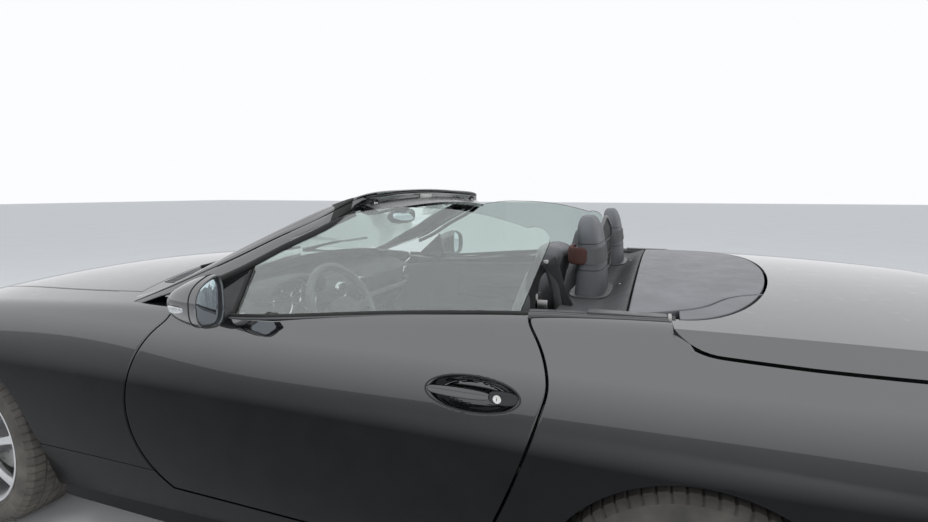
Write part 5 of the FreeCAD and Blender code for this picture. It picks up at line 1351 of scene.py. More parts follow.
frame_line = eased(mm((-232, 941.5), (-232, 1103), (0, 1148), (232, 1103), (232, 941.5)), 0.05, 10)
arch = np.clip(1 - (frame_line[:, 0] / 0.20) ** 2, 0, 1)
frame_line[:, 1] += 0.010 * arch * (frame_line[:, 1] > 1.08)
rim_path = np.column_stack([np.full(len(frame_line), 0.939), inset(frame_line, 0.006)])
single("deflector_rim", sweep(rim_path, oval(0.006, 0.006, 3, 16), up=(1, 0, 0), closed=True),
       "rail_grey", replaces=["wind_deflector"])
single("deflector_net", plate(inset(frame_line, 0.007), 0.9375, 0.9400, 0.0004, end_spot), "mesh")
for height in (1.005, 1.060):
    bar = np.column_stack([np.full(24, 0.9415), np.linspace(-0.228, 0.228, 24),
                           np.full(24, height)])
    single("deflector_bar_%d" % (height * 1000), sweep(bar, oval(0.002, 0.003, 2.5, 12)),
           "black_plastic")
print("hoops ready")

# %% [markdown]
# ## The deck over the folded roof
# Behind the hoops lies a D-shaped lid between two side flaps, with a rail along each side.
# Each is a grid of points laid on the skin from above, so lid, flaps and body stay flush.

# %% Deck lid, side flaps and rails
def top_at(x, y):
    """Points of the skin's top straight above x and y; y may have either sign."""
    x, y = np.broadcast_arrays(np.asarray(x, float), np.asarray(y, float))
    spots = at_width(x.ravel(), np.abs(y).ravel())
    spots[:, 1] *= np.where(y.ravel() < 0, -1, 1)
    return body(*spots.T).reshape(*x.shape, 3)


DECK_FRONT, DECK_BOW = REAR - 0.170, 0.263
UP = (0, 0, 1)
LID_CORNER = (1.3708, 0.4735)
JOINT_END = math.acos(LID_CORNER[1] / DECK_HALF)
s_curve = curve([(DECK_FRONT + 0.002, 0.722), (1.110, 0.706), (1.160, 0.680), (1.200, 0.655),
                 (1.244, 0.606), (1.284, 0.540), (1.325, 0.500), LID_CORNER], 80)


def deck_rim(angle, grow=0.0):
    """The deck's rounded rear edge from above, at angles from its side corner."""
    return np.column_stack([DECK_SIDE + (DECK_BOW + grow) * np.sin(angle),
                            (DECK_HALF + grow) * np.cos(angle)])


lid_right = np.vstack([s_curve[:-1], deck_rim(np.linspace(JOINT_END, math.pi / 2, 60), -0.002)])
depth = np.sin(np.linspace(0, math.pi / 2, 64))
lid_x = DECK_FRONT + 0.003 + (lid_right[-1, 0] - DECK_FRONT - 0.0035) * depth
reach = np.maximum(np.interp(lid_x, lid_right[:, 0], lid_right[:, 1]), 0.02)
lid_grid = top_at(np.broadcast_to(lid_x[:, None], (64, 85)),
                  reach[:, None] * np.linspace(-1, 1, 85)) + [0, 0, 0.0008]
single("deck_lid", shell(lid_grid, 0.022, 0.003, normal=UP), "deck_paint", replaces=["rear_deck"])

flap_out = deck_rim(np.linspace(0.03, JOINT_END - 0.012, 60), -0.002)
flap_in = spaced(s_curve[s_curve[:, 0] > 1.168] + [0.0035, 0.0035], np.linspace(0, 1, 60))
blend = np.linspace(0, 1, 24)[:, None, None]
flap_line = flap_in[None] * (1 - blend) + flap_out[None] * blend
flap_grid = top_at(flap_line[..., 0], flap_line[..., 1])
twin("deck_flap", shell(flap_grid, 0.020, 0.0012, 0.0005, UP), "deck_paint")

rail_x = np.linspace(0.842, 1.150, 40)
rail_path = np.column_stack([rail_x, np.interp(rail_x, [0.842, 0.90, 1.15], [0.762, 0.755, 0.7475]),
                             np.interp(rail_x, [0.842, 1.15], [0.9535, 0.9605])])
RAIL_RING = mm((-34, -10), (-34, -1), (-32, 2), (-5.5, 3.5), (-5, 1.5), (6, 1.5), (6.5, 3),
               (10, 2.5), (10.5, -0.5), (12.5, -0.5), (13, 2), (17, 0), (18, -4), (16, -12))
twin("deck_rail", sweep(rail_path, RAIL_RING), "rail_grey")
rail_plate = eased(mm((975, 717), (1148, 712), (1148, 747), (975, 752)), 0.008)
twin("rail_plate", plate(rail_plate, 0.957, 0.9645, 0.0012, top_spot), "rail_grey")
twin("rail_cap", block((1.149, 0.716, 0.944), (1.158, 0.758, 0.967), 0.003), "steel")
twin("rail_gap", block((1.1575, 0.708, 0.938), (1.166, 0.752, 0.961), 0.002), "seal")
APRON_FLAT, APRON_Z = 0.985, 0.9425
filler_x = np.linspace(0.885, DECK_FRONT - 0.002, 24)
filler_y = np.linspace(-0.725, 0.725, 61)
gx, gy = np.meshgrid(filler_x, filler_y, indexing="ij")
rise = np.clip((gx - APRON_FLAT) / (DECK_FRONT - APRON_FLAT), 0, 1)
edge_z = top_at(np.full(61, DECK_FRONT), filler_y)[:, 2] - 0.002
gz = APRON_Z + (edge_z[None] - APRON_Z) * rise ** 2 * (3 - 2 * rise)
gz = np.minimum(gz, top_at(gx, gy)[..., 2] - 0.003)
single("deck_apron", shell(np.stack([gx, gy, gz], -1), 0.012, 0.004), "deck_trim")
print("deck ready")

# %% [markdown]
# ## Seats
# Each seat is foam under hide: a cushion, a back with side bolsters and a head restraint
# in one shell with the back. A section across the seat is carried up a bent line, its
# front swells at the bolsters and sinks at the seams, so the padding reads as stitched.

# %% Cushion, back and head restraint
SEAT_Y = 0.360


def padded_run(path, half_width, half_depth, bolster, seams, pleats, count=96):
    """Rings along a bent line in X and Z. Across each ring the angle a goes once round: the
    half where sin a > 0 is the sat-on face. It rises by bolster near |u| = 0.8, and
    narrow valleys exp(-((u - seam) / w)^2) press the seams and pleats into it."""
    path = np.asarray(path, float)
    tangent = unit(np.gradient(path, axis=0))
    front = np.column_stack([-tangent[:, 1], tangent[:, 0]])
    angle = np.linspace(0, 2 * math.pi, count, endpoint=False)
    c, s = np.cos(angle), np.sin(angle)
    u = np.sign(c) * np.abs(c) ** (2 / 3.2)
    w = np.sign(s) * np.abs(s) ** (2 / 2.6)
    face = np.clip(s * 3, 0, 1)
    hill = np.exp(-((np.abs(u) - 0.84) / 0.17) ** 2)
    valley = sum(np.exp(-((np.abs(u) - seam) / 0.022) ** 2) for seam in seams)
    share = np.linspace(0, 1, len(path))
    groove = sum(np.exp(-((share - pleat) / 0.010) ** 2)
                 for pleat in pleats) if pleats else share * 0
    inner = np.clip((0.62 - np.abs(u)) * 20, 0, 1)
    relief = (np.asarray(bolster)[:, None] * hill - 0.007 * valley
              - 0.006 * groove[:, None] * inner + 0.004 * np.cos(u * math.pi) * inner)
    out = np.asarray(half_depth)[:, None] * w + face * relief
    across = np.asarray(half_width)[:, None] * u
    return np.stack([path[:, None, 0] + front[:, None, 0] * out, SEAT_Y + across,
                     path[:, None, 1] + front[:, None, 1] * out], -1)


def ends(count, size=7):
    """Shares that start and stop a run roundly: the rise of a quarter circle at both ends."""
    made = np.ones(count)
    quarter = np.sqrt(1 - (1 - np.linspace(0.08, 1, size)) ** 2)
    made[:size], made[-size:] = quarter, quarter[::-1]
    return made


back_line = curve(mm((640, 330), (668, 450), (700, 600), (735, 750), (770, 880), (800, 975),
                     (815, 1022)), 90)
share = np.linspace(0, 1, 90)
taper = 0.226 - 0.012 * share - 0.075 * np.clip((share - 0.72) / 0.28, 0, 1) ** 1.6
width = taper * (0.55 + 0.45 * ends(90))
deep = (0.058 - 0.010 * share) * ends(90)
swell = 0.040 * np.clip((0.85 - share) / 0.2, 0, 1) * np.clip(share / 0.12, 0, 1)
back = ringed(padded_run(back_line[::-1], width[::-1], deep[::-1], swell[::-1], (0.60,),
                         (0.22, 0.36, 0.50, 0.64)))
head_line = curve(mm((808.5, 985), (817, 1020), (826, 1055), (831, 1079)), 40)
head_share = np.linspace(0, 1, 40)
head_width = (0.126 - 0.020 * head_share ** 2) * (0.60 + 0.40 * ends(40, 10))
head = ringed(padded_run(head_line[::-1], head_width[::-1], 0.043 * ends(40, 10),
                         np.full(40, 0.006), (0.86,), (), 64))
seat_line = curve(mm((640, 352), (560, 346), (440, 350), (320, 362), (220, 372), (165, 362)), 80)
seat_share = np.linspace(0, 1, 80)
seat_width = (0.228 - 0.010 * seat_share) * (0.55 + 0.45 * ends(80, 9))
seat_deep = 0.062 * ends(80, 9)
seat_swell = 0.030 * np.clip(seat_share / 0.1, 0, 1) * np.clip((1.0 - seat_share) / 0.2, 0, 1)
cushion = ringed(padded_run(seat_line, seat_width, seat_deep, seat_swell, (0.60,),
                            (0.30, 0.46, 0.62)))
for part, form in (("back", back), ("head", head), ("cushion", cushion)):
    twin("seat_" + part, form, "hide", replaces=["seat_{}"], sharp=60)
twin("seat_shell", merged(block((0.17, 0.165, 0.262), (0.66, 0.555, 0.305), 0.012),
                          block((0.20, 0.150, 0.262), (0.62, 0.158, 0.330), 0.003),
                          block((0.20, 0.562, 0.262), (0.62, 0.570, 0.330), 0.003)), "trim")
print("seats ready")

# %% [markdown]
# ## Seat belts
# A curved arm beside each seat's back holds the belt's guide. The belt comes up from behind,
# turns over the guide and runs down between the seat and the door.

# %% Belts and guides
arm = curve(mm((885, 600, 930), (872, 585, 985), (856, 565, 1020), (838, 552, 1040)), 20)
twin("belt_guide", sweep(arm, oval(0.007, 0.012, 2.6, 20), up=(1, 0, 0.3)), "black_plastic")
button = mm((0.5, 6.5), (5, 6), (9.5, 4), (11.5, 0), (11.5, -6), (9, -9))
twin("guide_button", turned(button, (0.838, 0.556, 1.043), (-0.15, 1, 0.1), 32), "steel")
belt = curve(mm((905, 600, 935), (872, 583, 1000), (842, 556, 1050), (815, 540, 1030),
                (800, 556, 900), (770, 578, 700), (720, 592, 480), (690, 598, 350)), 70)
twin("seat_belt", sweep(belt, oval(0.0012, 0.023, 5, 16), up=(0.9, 0.4, 0.1)), "webbing")
bracket = merged(block((0.842, 0.655, 0.950), (0.848, 0.695, 0.985), 0.0015),
                 block((0.842, 0.690, 0.950), (0.872, 0.695, 0.972), 0.0015))
twin("belt_bracket", bracket, "steel")
print("belts ready")

# %% [markdown]
# ## Wheels
# A tyre is one profile turned about the axle, and its tread is cut by lowering chosen rows
# for the long grooves and chosen steps of the turn for the cross cuts. The rim is a turned
# barrel with seven swept spokes. All is drawn at an outboard Y and then moved to its axle.

# %% Tyres
AXLES = {"front": (FRONT, 0.7650), "rear": (REAR, 0.7705)}
TYRE_RADIUS, TURN_STEPS, BLOCK_STEPS = 0.317, 384, 6
tread_y = np.array([-0.090, -0.080, -0.068, -0.0570, -0.0560, -0.0485, -0.0475, -0.035, -0.0228,
                    -0.0218, -0.0142, -0.0132, 0.0])
tread_y = np.concatenate([tread_y, -tread_y[-2::-1]])
wall = mm((221.5, -90), (227.5, -92.5), (233, -104), (242, -108.5), (244, -107), (248, -109.2),
          (264, -111.8), (280, -110.5), (292, -106), (294.5, -106.5), (301, -102), (306.5, -96.5))
tyre_r = np.concatenate([wall[:, 0], TYRE_RADIUS - 0.0045 * (np.abs(tread_y) / 0.09) ** 4,
                         wall[::-1, 0]])
tyre_y = np.concatenate([wall[:, 1], tread_y, -wall[::-1, 1]])
far = np.abs(tyre_y)
long_groove = ((far > 0.0480) & (far < 0.0565)) | ((far > 0.0140) & (far < 0.0220))
step_number = np.arange(TURN_STEPS)


def cut_at(period, offset, where):
    """True where a step of the turn is one of a row of cuts and the profile's point is chosen."""
    return ((step_number + offset) % period == 0)[None, :] & where[:, None]


shoulder_cut = cut_at(BLOCK_STEPS, 0, (far > 0.0565) & (tyre_r > 0.3))
rib_cut = cut_at(BLOCK_STEPS, 3, (far > 0.0225) & (far < 0.0480))
middle_cut = cut_at(2 * BLOCK_STEPS, -1, far < 0.0135)
sunk = np.maximum(0.0070 * long_groove[:, None], 0.0055 * (shoulder_cut | rib_cut)
                  + 0.0030 * middle_cut)
turn_angle = 2 * math.pi * step_number / TURN_STEPS
tyre_rings = np.stack([(tyre_r[:, None] - sunk) * np.cos(turn_angle),
                       np.broadcast_to(tyre_y[:, None], sunk.shape),
                       (tyre_r[:, None] - sunk) * np.sin(turn_angle)], -1)
tyre_form = ringed(tyre_rings, closed=True)


def on_axle(form, end):
    """A form drawn about the wheel's middle, moved to its axle's right-hand end."""
    x, half_track = AXLES[end]
    return form[0].reshape(-1, 3) + np.array([x, half_track, TYRE_RADIUS]), form[1]


for end in AXLES:
    twin("tyre_" + end, on_axle(tyre_form, end), "rubber", "wheel_%s_{}" % end,
         ["tyre_%s_{}" % end], 25)
print("a tyre has", 2 * len(tyre_form[1]), "triangles")

# %% [markdown]
# ## Rims and brake discs
# Each spoke is a rounded section carried from hub to barrel: wide at both ends, slim in the
# middle, and dished so that its face stands a little inside the flange.

# %% Rims, bolts and discs
BARREL_LINE = mm((229, 101.5), (230.5, 98), (229, 94.5), (218.5, 92), (214, 80), (206, 60),
                 (201, 20), (201, -40), (210, -82), (216.5, -91.5), (229, -94.5), (230.5, -98),
                 (229, -101.5), (221, -99.5), (206, -88), (196.5, -50), (196.5, 20), (200.5, 62),
                 (208, 84.5), (214, 96), (221, 102))
HUB, AXLE = (0, 0, 0), (0, 1, 0)
barrel = turned(BARREL_LINE, HUB, AXLE, 120, closed=True)
run = np.linspace(0, 1, 26)
spoke_r, spoke_y = 0.046 + 0.160 * run, 0.0755 + 0.0130 * np.sin(math.pi * (0.18 + 0.74 * run))
spoke_wide = 0.0125 + 0.0105 * (1 - run) ** 2 + 0.0075 * run ** 5
spoke_deep = 0.0100 + 0.0045 * (1 - run)
section = oval(1, 1, 3.0, 28)[None] * np.stack([spoke_wide, spoke_deep], -1)[:, None]
spokes = []
for number in range(7):
    a = 2 * math.pi * (number + 0.25) / 7
    line = np.column_stack([spoke_r * math.cos(a), spoke_y, spoke_r * math.sin(a)])
    spokes.append(sweep(line, section, up=AXLE))
hub = turned(mm((27.5, 86), (30, 88.5), (34, 88.5), (50, 87), (59, 81), (64, 70), (66, 40),
                (66, -8), (27.5, -8)), HUB, AXLE, 72, closed=True)
cap = turned(mm((0.5, 89.5), (15, 89), (24, 87.2), (27, 85), (27.2, 70), (0.5, 69)), HUB, AXLE, 48)
bolts = []
for a in 2 * math.pi * np.arange(5) / 5:
    spot = (0.0445 * math.cos(a), 0, 0.0445 * math.sin(a))
    bolts.append(turned(mm((0.5, 89.5), (6, 89.2), (7.4, 88), (7.6, 80)), spot, AXLE, 6))
disc = turned(mm((148, -10.5), (149, -12), (149, -19.5), (144, -20), (144, -25), (149, -25.5),
                 (149, -33), (148, -34.5), (76, -34.5), (74, -30), (74, -12), (76, -10.5)), HUB,
              AXLE, 96, closed=True)
for end in AXLES:
    ride = "wheel_%s_{}" % end
    twin("rim_" + end, on_axle(merged(barrel, hub, *spokes), end), "wheel_silver", ride,
         ["rim_%s_{}" % end], 40)
    twin("hub_cap_" + end, on_axle(cap, end), "black_plastic", ride)
    twin("wheel_bolts_" + end, on_axle(merged(*bolts), end), "bright_steel", ride)
    twin("brake_disc_" + end, on_axle(disc, end), "steel", ride)
print("wheels ready")

# %% [markdown]
# ## Steering wheel
# The rim is a circle of stitched hide, a little thicker at the upper thumbs. Three spokes
# carry it to a soft pad. All of it is drawn in the wheel's own tilted plane.

# %% Steering wheel
WHEEL_SPOT, WHEEL_RAKE = np.array([0.070, -0.360, 0.810]), math.radians(25)
WHEEL_OUT = np.array([math.cos(WHEEL_RAKE), 0, math.sin(WHEEL_RAKE)])
WHEEL_UP = np.array([-math.sin(WHEEL_RAKE), 0, math.cos(WHEEL_RAKE)])
WHEEL_ACROSS = np.array([0.0, 1.0, 0.0])


def in_wheel(across, up, out):
    """Points given by their distances across, up and out of the steering wheel's plane."""
    return (WHEEL_SPOT + np.asarray(across)[..., None] * WHEEL_ACROSS
            + np.asarray(up)[..., None] * WHEEL_UP + np.asarray(out)[..., None] * WHEEL_OUT)


WHEEL_RADIUS = 0.172
rim_angle = np.linspace(0, 2 * math.pi, 144, endpoint=False)
rim_line = in_wheel(WHEEL_RADIUS * np.sin(rim_angle), WHEEL_RADIUS * np.cos(rim_angle),
                    0 * rim_angle)
thumbs = 1 + 0.14 * np.exp(-((np.abs(np.angle(np.exp(1j * rim_angle))) - 1.15) / 0.16) ** 2)
rim_form = sweep(rim_line, oval(0.0140, 0.0150, 2, 28), up=WHEEL_OUT, scale=thumbs, closed=True)
single("wheel_rim_hide", rim_form, "hide", "steering_wheel", ["steering_wheel"])
seam_line = in_wheel(0.1585 * np.sin(rim_angle), 0.1585 * np.cos(rim_angle), 0 * rim_angle + 0.0015)
stitch = sweep(seam_line, oval(0.0010, 0.0014, 2, 8), up=WHEEL_OUT, closed=True)
single("wheel_stitch", stitch, "strap", "steering_wheel")
reach = np.linspace(0.035, 0.164, 18)
out_share = (reach - 0.035) / 0.129
for name, a, half, look in (("left", -math.pi / 2, 0.019, "black_plastic"),
                            ("right", math.pi / 2, 0.019, "black_plastic"),
                            ("low", math.pi, 0.015, "grille_grey")):
    size = np.column_stack([half + 0.012 * (1 - out_share) ** 2, np.linspace(0.011, 0.007, 18)])
    arm = in_wheel(reach * math.sin(a), reach * math.cos(a), -0.016 + 0.016 * out_share ** 2)
    spoke = sweep(arm, oval(1, 1, 3, 24)[None] * size[:, None], up=WHEEL_OUT)
    single("wheel_spoke_" + name, spoke, look, "steering_wheel")
PAD_HALF, PAD_TALL = 0.072, 0.056
pad_rows = [(PAD_HALF * math.sin(s * math.pi / 2) ** 0.8,
             PAD_TALL * math.sin(s * math.pi / 2) ** 0.8, 0.020 - 0.014 * s ** 3)
            for s in np.linspace(0.02, 1, 14)]
pad_rows += [(PAD_HALF + grow, PAD_TALL + grow, out)
             for out, grow in ((0.0, 0.0), (-0.020, -0.004), (-0.036, -0.016))]
pad_rings = []
for half, tall, out in pad_rows:
    ring = oval(half, tall, 2.8, 56)
    pad_rings.append(in_wheel(ring[:, 0], ring[:, 1] - 0.006, np.full(56, out)))
single("wheel_pad", ringed(pad_rings), "trim", "steering_wheel")
print("steering wheel ready")

# %% [markdown]
# ## Dashboard
# A dashboard is a soft moulding from door to door with a hood over the dials. Its section
# is a smooth loop carried across the cabin. Dials, vents, a screen and rows of switches
# are set into the face that looks at the seats.

# %% Dashboard, dials and vents
DASH_HALF = 0.676
dash_corner = mm((-545, 864), (-480, 893), (-330, 887), (-205, 868), (-146, 838), (-137, 790),
                 (-165, 752), (-176, 700), (-232, 640), (-330, 612), (-545, 600))
dash_loop = softened(np.vstack([dash_corner, dash_corner[:1]]), 0.020, 5)[:-1]
across_share = np.concatenate([[-1, -0.995, -0.985], np.linspace(-0.97, 0.97, 44),
                               [0.985, 0.995, 1]])


def bowed_in(share):
    """How far the dashboard's face stands back at a share of its half width: more towards
    the doors, less in the middle."""
    return -0.040 * abs(share) ** 3 + 0.014 * math.exp(-(share / 0.22) ** 2)


dash_rings = []
for s in across_share:
    shrink = 0.036 * (max(0.0, abs(s) - 0.97) / 0.03) ** 2
    ring = dash_loop + (dash_loop.mean(0) - dash_loop) * shrink
    face = np.clip((ring[:, 0] + 0.40) / 0.20, 0, 1)
    dash_rings.append(np.column_stack([ring[:, 0] + bowed_in(s) * face,
                                       np.full(len(ring), DASH_HALF * s), ring[:, 1]]))
single("dash_top", ringed(dash_rings), "trim", replaces=["dashboard"], sharp=60)
column_tube = turned(mm((0.5, 0), (30, 0), (34, 10), (34, 200), (0.5, 202)),
                     WHEEL_SPOT - WHEEL_OUT * 0.0425, -WHEEL_OUT, 40)
single("column_shroud", column_tube, "black_plastic")

hood_rings, hood_angle = [], np.linspace(0, math.pi, 48)
for x, half, rise in ((-0.300, 0.150, 0.030), (-0.260, 0.165, 0.052), (-0.200, 0.172, 0.066),
                      (-0.140, 0.170, 0.070), (-0.118, 0.166, 0.068), (-0.116, 0.158, 0.060),
                      (-0.122, 0.152, 0.054), (-0.160, 0.148, 0.050), (-0.195, 0.140, 0.040)):
    arch = np.column_stack([np.full(48, x), WHEEL_SPOT[1] + half * np.cos(hood_angle),
                            0.858 + rise * np.sin(hood_angle) ** 0.6])
    foot_line = np.column_stack([np.full(20, x), np.linspace(arch[-1, 1], arch[0, 1], 22)[1:-1],
                                 np.full(20, 0.850)])
    hood_rings.append(np.vstack([arch, foot_line]))
single("dial_hood", ringed(hood_rings), "trim", sharp=50)


DIAL_X, DIAL_AXIS = -0.147, (1, 0, 0.15)


def dial(name, y, z, radius):
    """A ring with a face set back in it, turned about the car's length, with its marks and
    its hand."""
    edge = radius - 0.009
    ring_form = turned([(radius, -0.004), (radius, 0.006), (radius - 0.003, 0.009),
                        (radius - 0.007, 0.007), (edge, 0.001), (edge, -0.004)], (DIAL_X, y, z),
                       DIAL_AXIS, 48, closed=True)
    single(name + "_ring", ring_form, "bright_steel")
    face = turned([(0.0005, 0.001), (edge, 0.001), (edge, -0.003), (0.0005, -0.003)],
                  (DIAL_X, y, z), DIAL_AXIS, 48)
    marks = []
    for a in np.radians(np.linspace(-130, 130, 14)):
        spot = np.array([-0.1455, y + (radius - 0.018) * math.sin(a),
                         z + (radius - 0.018) * math.cos(a)])
        low, high = spot - [0.001, 0.0012, 0.0012], spot + [0.0016, 0.0012, 0.0012]
        marks.append(block(low, high, 0.0004, 2))
    hand = sweep(np.array([(-0.1440, y, z), (-0.1440, y - radius * 0.35, z - radius * 0.45)]),
                 oval(0.0012, 0.0012, 2, 8))
    single(name + "_face", face, "seal")
    single(name + "_marks", merged(*marks, hand), "bright_steel")


dial("speed_dial", WHEEL_SPOT[1] - 0.072, 0.832, 0.052)
dial("engine_dial", WHEEL_SPOT[1] + 0.072, 0.832, 0.052)
dial("fuel_dial", WHEEL_SPOT[1], 0.845, 0.030)
for name, y, z in (("far", 0.600, 0.800), ("middle_right", 0.075, 0.822),
                   ("middle_left", -0.075, 0.822), ("near", -0.600, 0.800)):
    spot = np.array([-0.141 + bowed_in(y / DASH_HALF), y, z])
    ring_form = turned(mm((36, -10), (36, 4), (33, 7), (29, 5), (28, -10)), spot, (1, 0, 0), 48,
                       closed=True)
    slats = [block(spot + [-0.008, -0.027, h - 0.0012], spot + [0.002, 0.027, h + 0.0012],
                   0.0008, 2) for h in (-0.018, -0.009, 0, 0.009, 0.018)]
    single("vent_ring_" + name, ring_form, "bright_steel")
    single("vent_slats_" + name, merged(*slats), "black_plastic")
single("dash_strip", block((-0.152, 0.130, 0.744), (-0.140, 0.560, 0.764), 0.004), "grille_grey")
single("radio_panel", block((-0.180, -0.095, 0.640), (-0.132, 0.095, 0.785), 0.008), "gloss_trim")
single("radio_screen", block((-0.1335, -0.070, 0.715), (-0.1300, 0.070, 0.775), 0.0012), "seal")
keys = [block((-0.1335, y - 0.0085, z - 0.0055), (-0.1285, y + 0.0085, z + 0.0055), 0.0016, 3)
        for z in (0.700, 0.682, 0.664) for y in np.linspace(-0.066, 0.066, 6)]
single("radio_keys", merged(*keys), "trim")
print("dashboard ready")

# %% [markdown]
# ## Console
# Between the seats runs a low moulding with the gear lever in a hide gaiter, a lidded rest
# for the elbow and the hand brake beside it.

# %% Console, lever and hand brake
console_line = mm((-226, 372), (-214, 495), (-60, 508), (75, 518), (200, 545), (300, 588),
                  (600, 594), (628, 560), (632, 372))
loop = softened(np.vstack([console_line, console_line[:1]]), 0.014, 6)[:-1]
console_rings = []
for y, less in ((-0.098, 0.035), (-0.096, 0.012), (-0.090, 0.0), (-0.03, -0.004), (0.03, -0.004),
                (0.090, 0.0), (0.096, 0.012), (0.098, 0.035)):
    ring = loop + (loop.mean(0) - loop) * less
    console_rings.append(side_spot(ring[:, 0], ring[:, 1], y))
single("console_shell", ringed(console_rings), "trim", replaces=["console"], sharp=60)
single("elbow_rest", block((0.330, -0.086, 0.590), (0.600, 0.086, 0.622), 0.014, 6), "hide")
gaiter = [top_spot(*oval(half, half * 0.85, 3.2, 40).T, z)
          for half, z in mm((52, 508), (49, 520), (40, 524), (41, 534), (30, 539), (31, 549),
                            (21, 556), (20, 570), (12, 580))]
single("lever_gaiter", ringed(gaiter), "hide")
single("lever_frame", plate(oval(0.062, 0.054, 3.2, 48), 0.510, 0.5165, 0.002, top_spot),
       "bright_steel")
knob_form = turned(mm((0.5, 48), (12, 46.5), (20.5, 40), (23.5, 30), (21.5, 18), (15, 6), (9, -4),
                      (7.5, -50), (0.5, -51)), (0, 0, 0.620), (0.08, 0, 1), 40)
single("lever_knob", knob_form, "gloss_trim")
brake = curve(mm((120, -62, 528), (170, -62, 556), (240, -62, 606), (290, -62, 624)), 24)
single("hand_brake", sweep(brake, oval(0.011, 0.013, 2.4, 20), scale=np.linspace(0.7, 1.15, 24)),
       "hide")
cup_ring = turned(mm((36, 4), (38, 3), (38, -6), (33, -6), (33, 2)), (0.130, 0.045, 0.534),
                  (0, 0, 1), 40, closed=True)
single("cup_ring", cup_ring, "bright_steel")
pedals = [block((-0.455, -0.496, 0.270), (-0.440, -0.444, 0.340), 0.004),
          block((-0.453, -0.396, 0.270), (-0.438, -0.344, 0.340), 0.004),
          block((-0.452, -0.292, 0.240), (-0.436, -0.248, 0.350), 0.004)]
single("pedals", merged(*pedals), "black_plastic")
print("console ready")

# %% [markdown]
# ## Lamps
# A lamp is a clear cover that carries on the body's skin, with a dark bowl behind it and
# round reflectors in the bowl. Its edge is a turned ellipse seen from the end of the car,
# drawn in where the bonnet or the lid crosses it.

# %% Lamp covers and bowls
def lamp_edge(y, z, half, tall, turn, clear, span, count=96):
    """Reach of a lamp from its middle at angles all round. clear(points) is positive where
    the cover may be, and the reach is halved down to the last share that is still clear."""
    a = np.linspace(0, 2 * math.pi, count, endpoint=False)
    arm = np.column_stack([half * np.cos(a) * math.cos(turn) + tall * np.sin(a) * math.sin(turn),
                           tall * np.sin(a) * math.cos(turn) - half * np.cos(a) * math.sin(turn)])
    low, high = np.zeros(count), np.full(count, 2.0)
    for _ in range(14):
        middle = (low + high) / 2
        tried = np.minimum(middle, 1.0)
        spots = end_spots(y + arm[:, 0] * tried, z + arm[:, 1] * tried, *span)
        good = (clear(body(*spots.T)) > 0) & (middle < 1.0)
        low, high = np.where(good, middle, low), np.where(good, high, middle)
    reach = np.minimum(low, 0.985)
    return arm * ((reach + 0.5 * (np.roll(reach, 1) + np.roll(reach, -1))) / 2)[:, None]


def lamp(name, y, z, arm, span, look, bowl_look, cups, deep, slot, solid):
    """Cover, bowl, reflectors and bulbs of a lamp on the right, with its mirror image."""
    def rings(shares, sink):
        """Outlines on the skin at shares of the lamp's reach, each sunk along the normals."""
        shares = np.asarray(shares)
        spots = end_spots(y + arm[None, :, 0] * shares[:, None],
                          z + arm[None, :, 1] * shares[:, None], *span)
        points, normal = skin(spots)
        return points - normal * np.broadcast_to(sink, shares.shape)[:, None, None]

    front = np.linspace(0.04, 0.97, 12)
    cover = np.concatenate([rings(front, 0.0), rings([0.99, 1.0, 1.0], [0.0008, 0.003, 0.009]),
                            rings([0.965], 0.009), rings(front[::-1], 0.0042)])
    twin(name + "_cover", ringed(cover), look, replaces=[solid])
    back = 1 if span[1] > span[0] else -1
    deepest = rings([1.0], 0.012)[0]
    steps = [(1.0, 0.0), (0.93, 0.25), (0.86, 0.7), (0.78, 1.0), (0.30, 1.06), (0.05, 1.06)]
    middle = deepest.mean(0)
    inner = [middle * (1 - s) + deepest * s + [back * deep * d, 0, 0] for s, d in steps]
    outer = [middle * (1 - s) + deepest * s + [back * (deep * d + 0.004), 0, 0]
             for s, d in steps[::-1]]
    outer[-1] = deepest + (deepest - middle) * 0.02 + [back * 0.004, 0, 0]
    twin(name + "_bowl", ringed(inner[::-1] + outer[::-1]), bowl_look)
    for number, (off_y, off_z, r, off_x) in enumerate(cups):
        spot = (middle[0] + back * off_x, y + off_y, z + off_z)
        cup = turned([(0.0005, 0.030), (r * 0.40, 0.028), (r * 0.78, 0.016), (r * 0.95, 0.000),
                      (r, -0.003), (r * 1.06, 0.000), (r * 1.06, 0.020), (r * 0.82, 0.034),
                      (0.0005, 0.038)], spot, (back, 0, 0), 48)
        bulb = turned(mm((0.5, -6), (6, -4), (9, 2), (9, 30), (0.5, 31)), spot, (back, 0, 0), 24)
        twin("%s_cup_%d" % (name, number), cup, "bright_steel")
        twin("%s_bulb_%d" % (name, number), bulb, "clear_lens")


def cut_hole(name, y, z, arm, low, high, grow=1.012):
    """Take a lamp's outline out of a panel, as a boolean cut that is applied at once."""
    rim = np.column_stack([np.full(len(arm), low), y + arm[:, 0] * grow, z + arm[:, 1] * grow])
    far = rim + [high - low, 0, 0]
    for side, sign in (("right", 1), ("left", -1)):
        points, faces = ringed(np.stack([rim, far]) * [1, sign, 1])
        mesh = bpy.data.meshes.new("cutter")
        mesh.from_pydata(points.tolist(), [], faces)
        cutter = bpy.data.objects.new("cutter", mesh)
        scene.collection.objects.link(cutter)
        panel = bpy.data.objects[name + "_" + side]
        cut = panel.modifiers.new("cut", "BOOLEAN")
        cut.object, cut.operation, cut.solver = cutter, "DIFFERENCE", "EXACT"
        graph = bpy.context.evaluated_depsgraph_get()
        made = bpy.data.meshes.new_from_object(panel.evaluated_get(graph))
        panel.modifiers.clear()
        panel.data = made
        bpy.data.objects.remove(cutter)


LAMP_GAP, HEADLAMP_TOP, TAIL_LAMP_TOP = 0.004, 0.7315, 0.8125
HEAD_AT, HEAD_SPAN = (0.600, 0.660), (-2.03, -1.5)
TAIL_AT, TAIL_LAMP_SPAN = (0.655, 0.745), (2.03, 1.5)


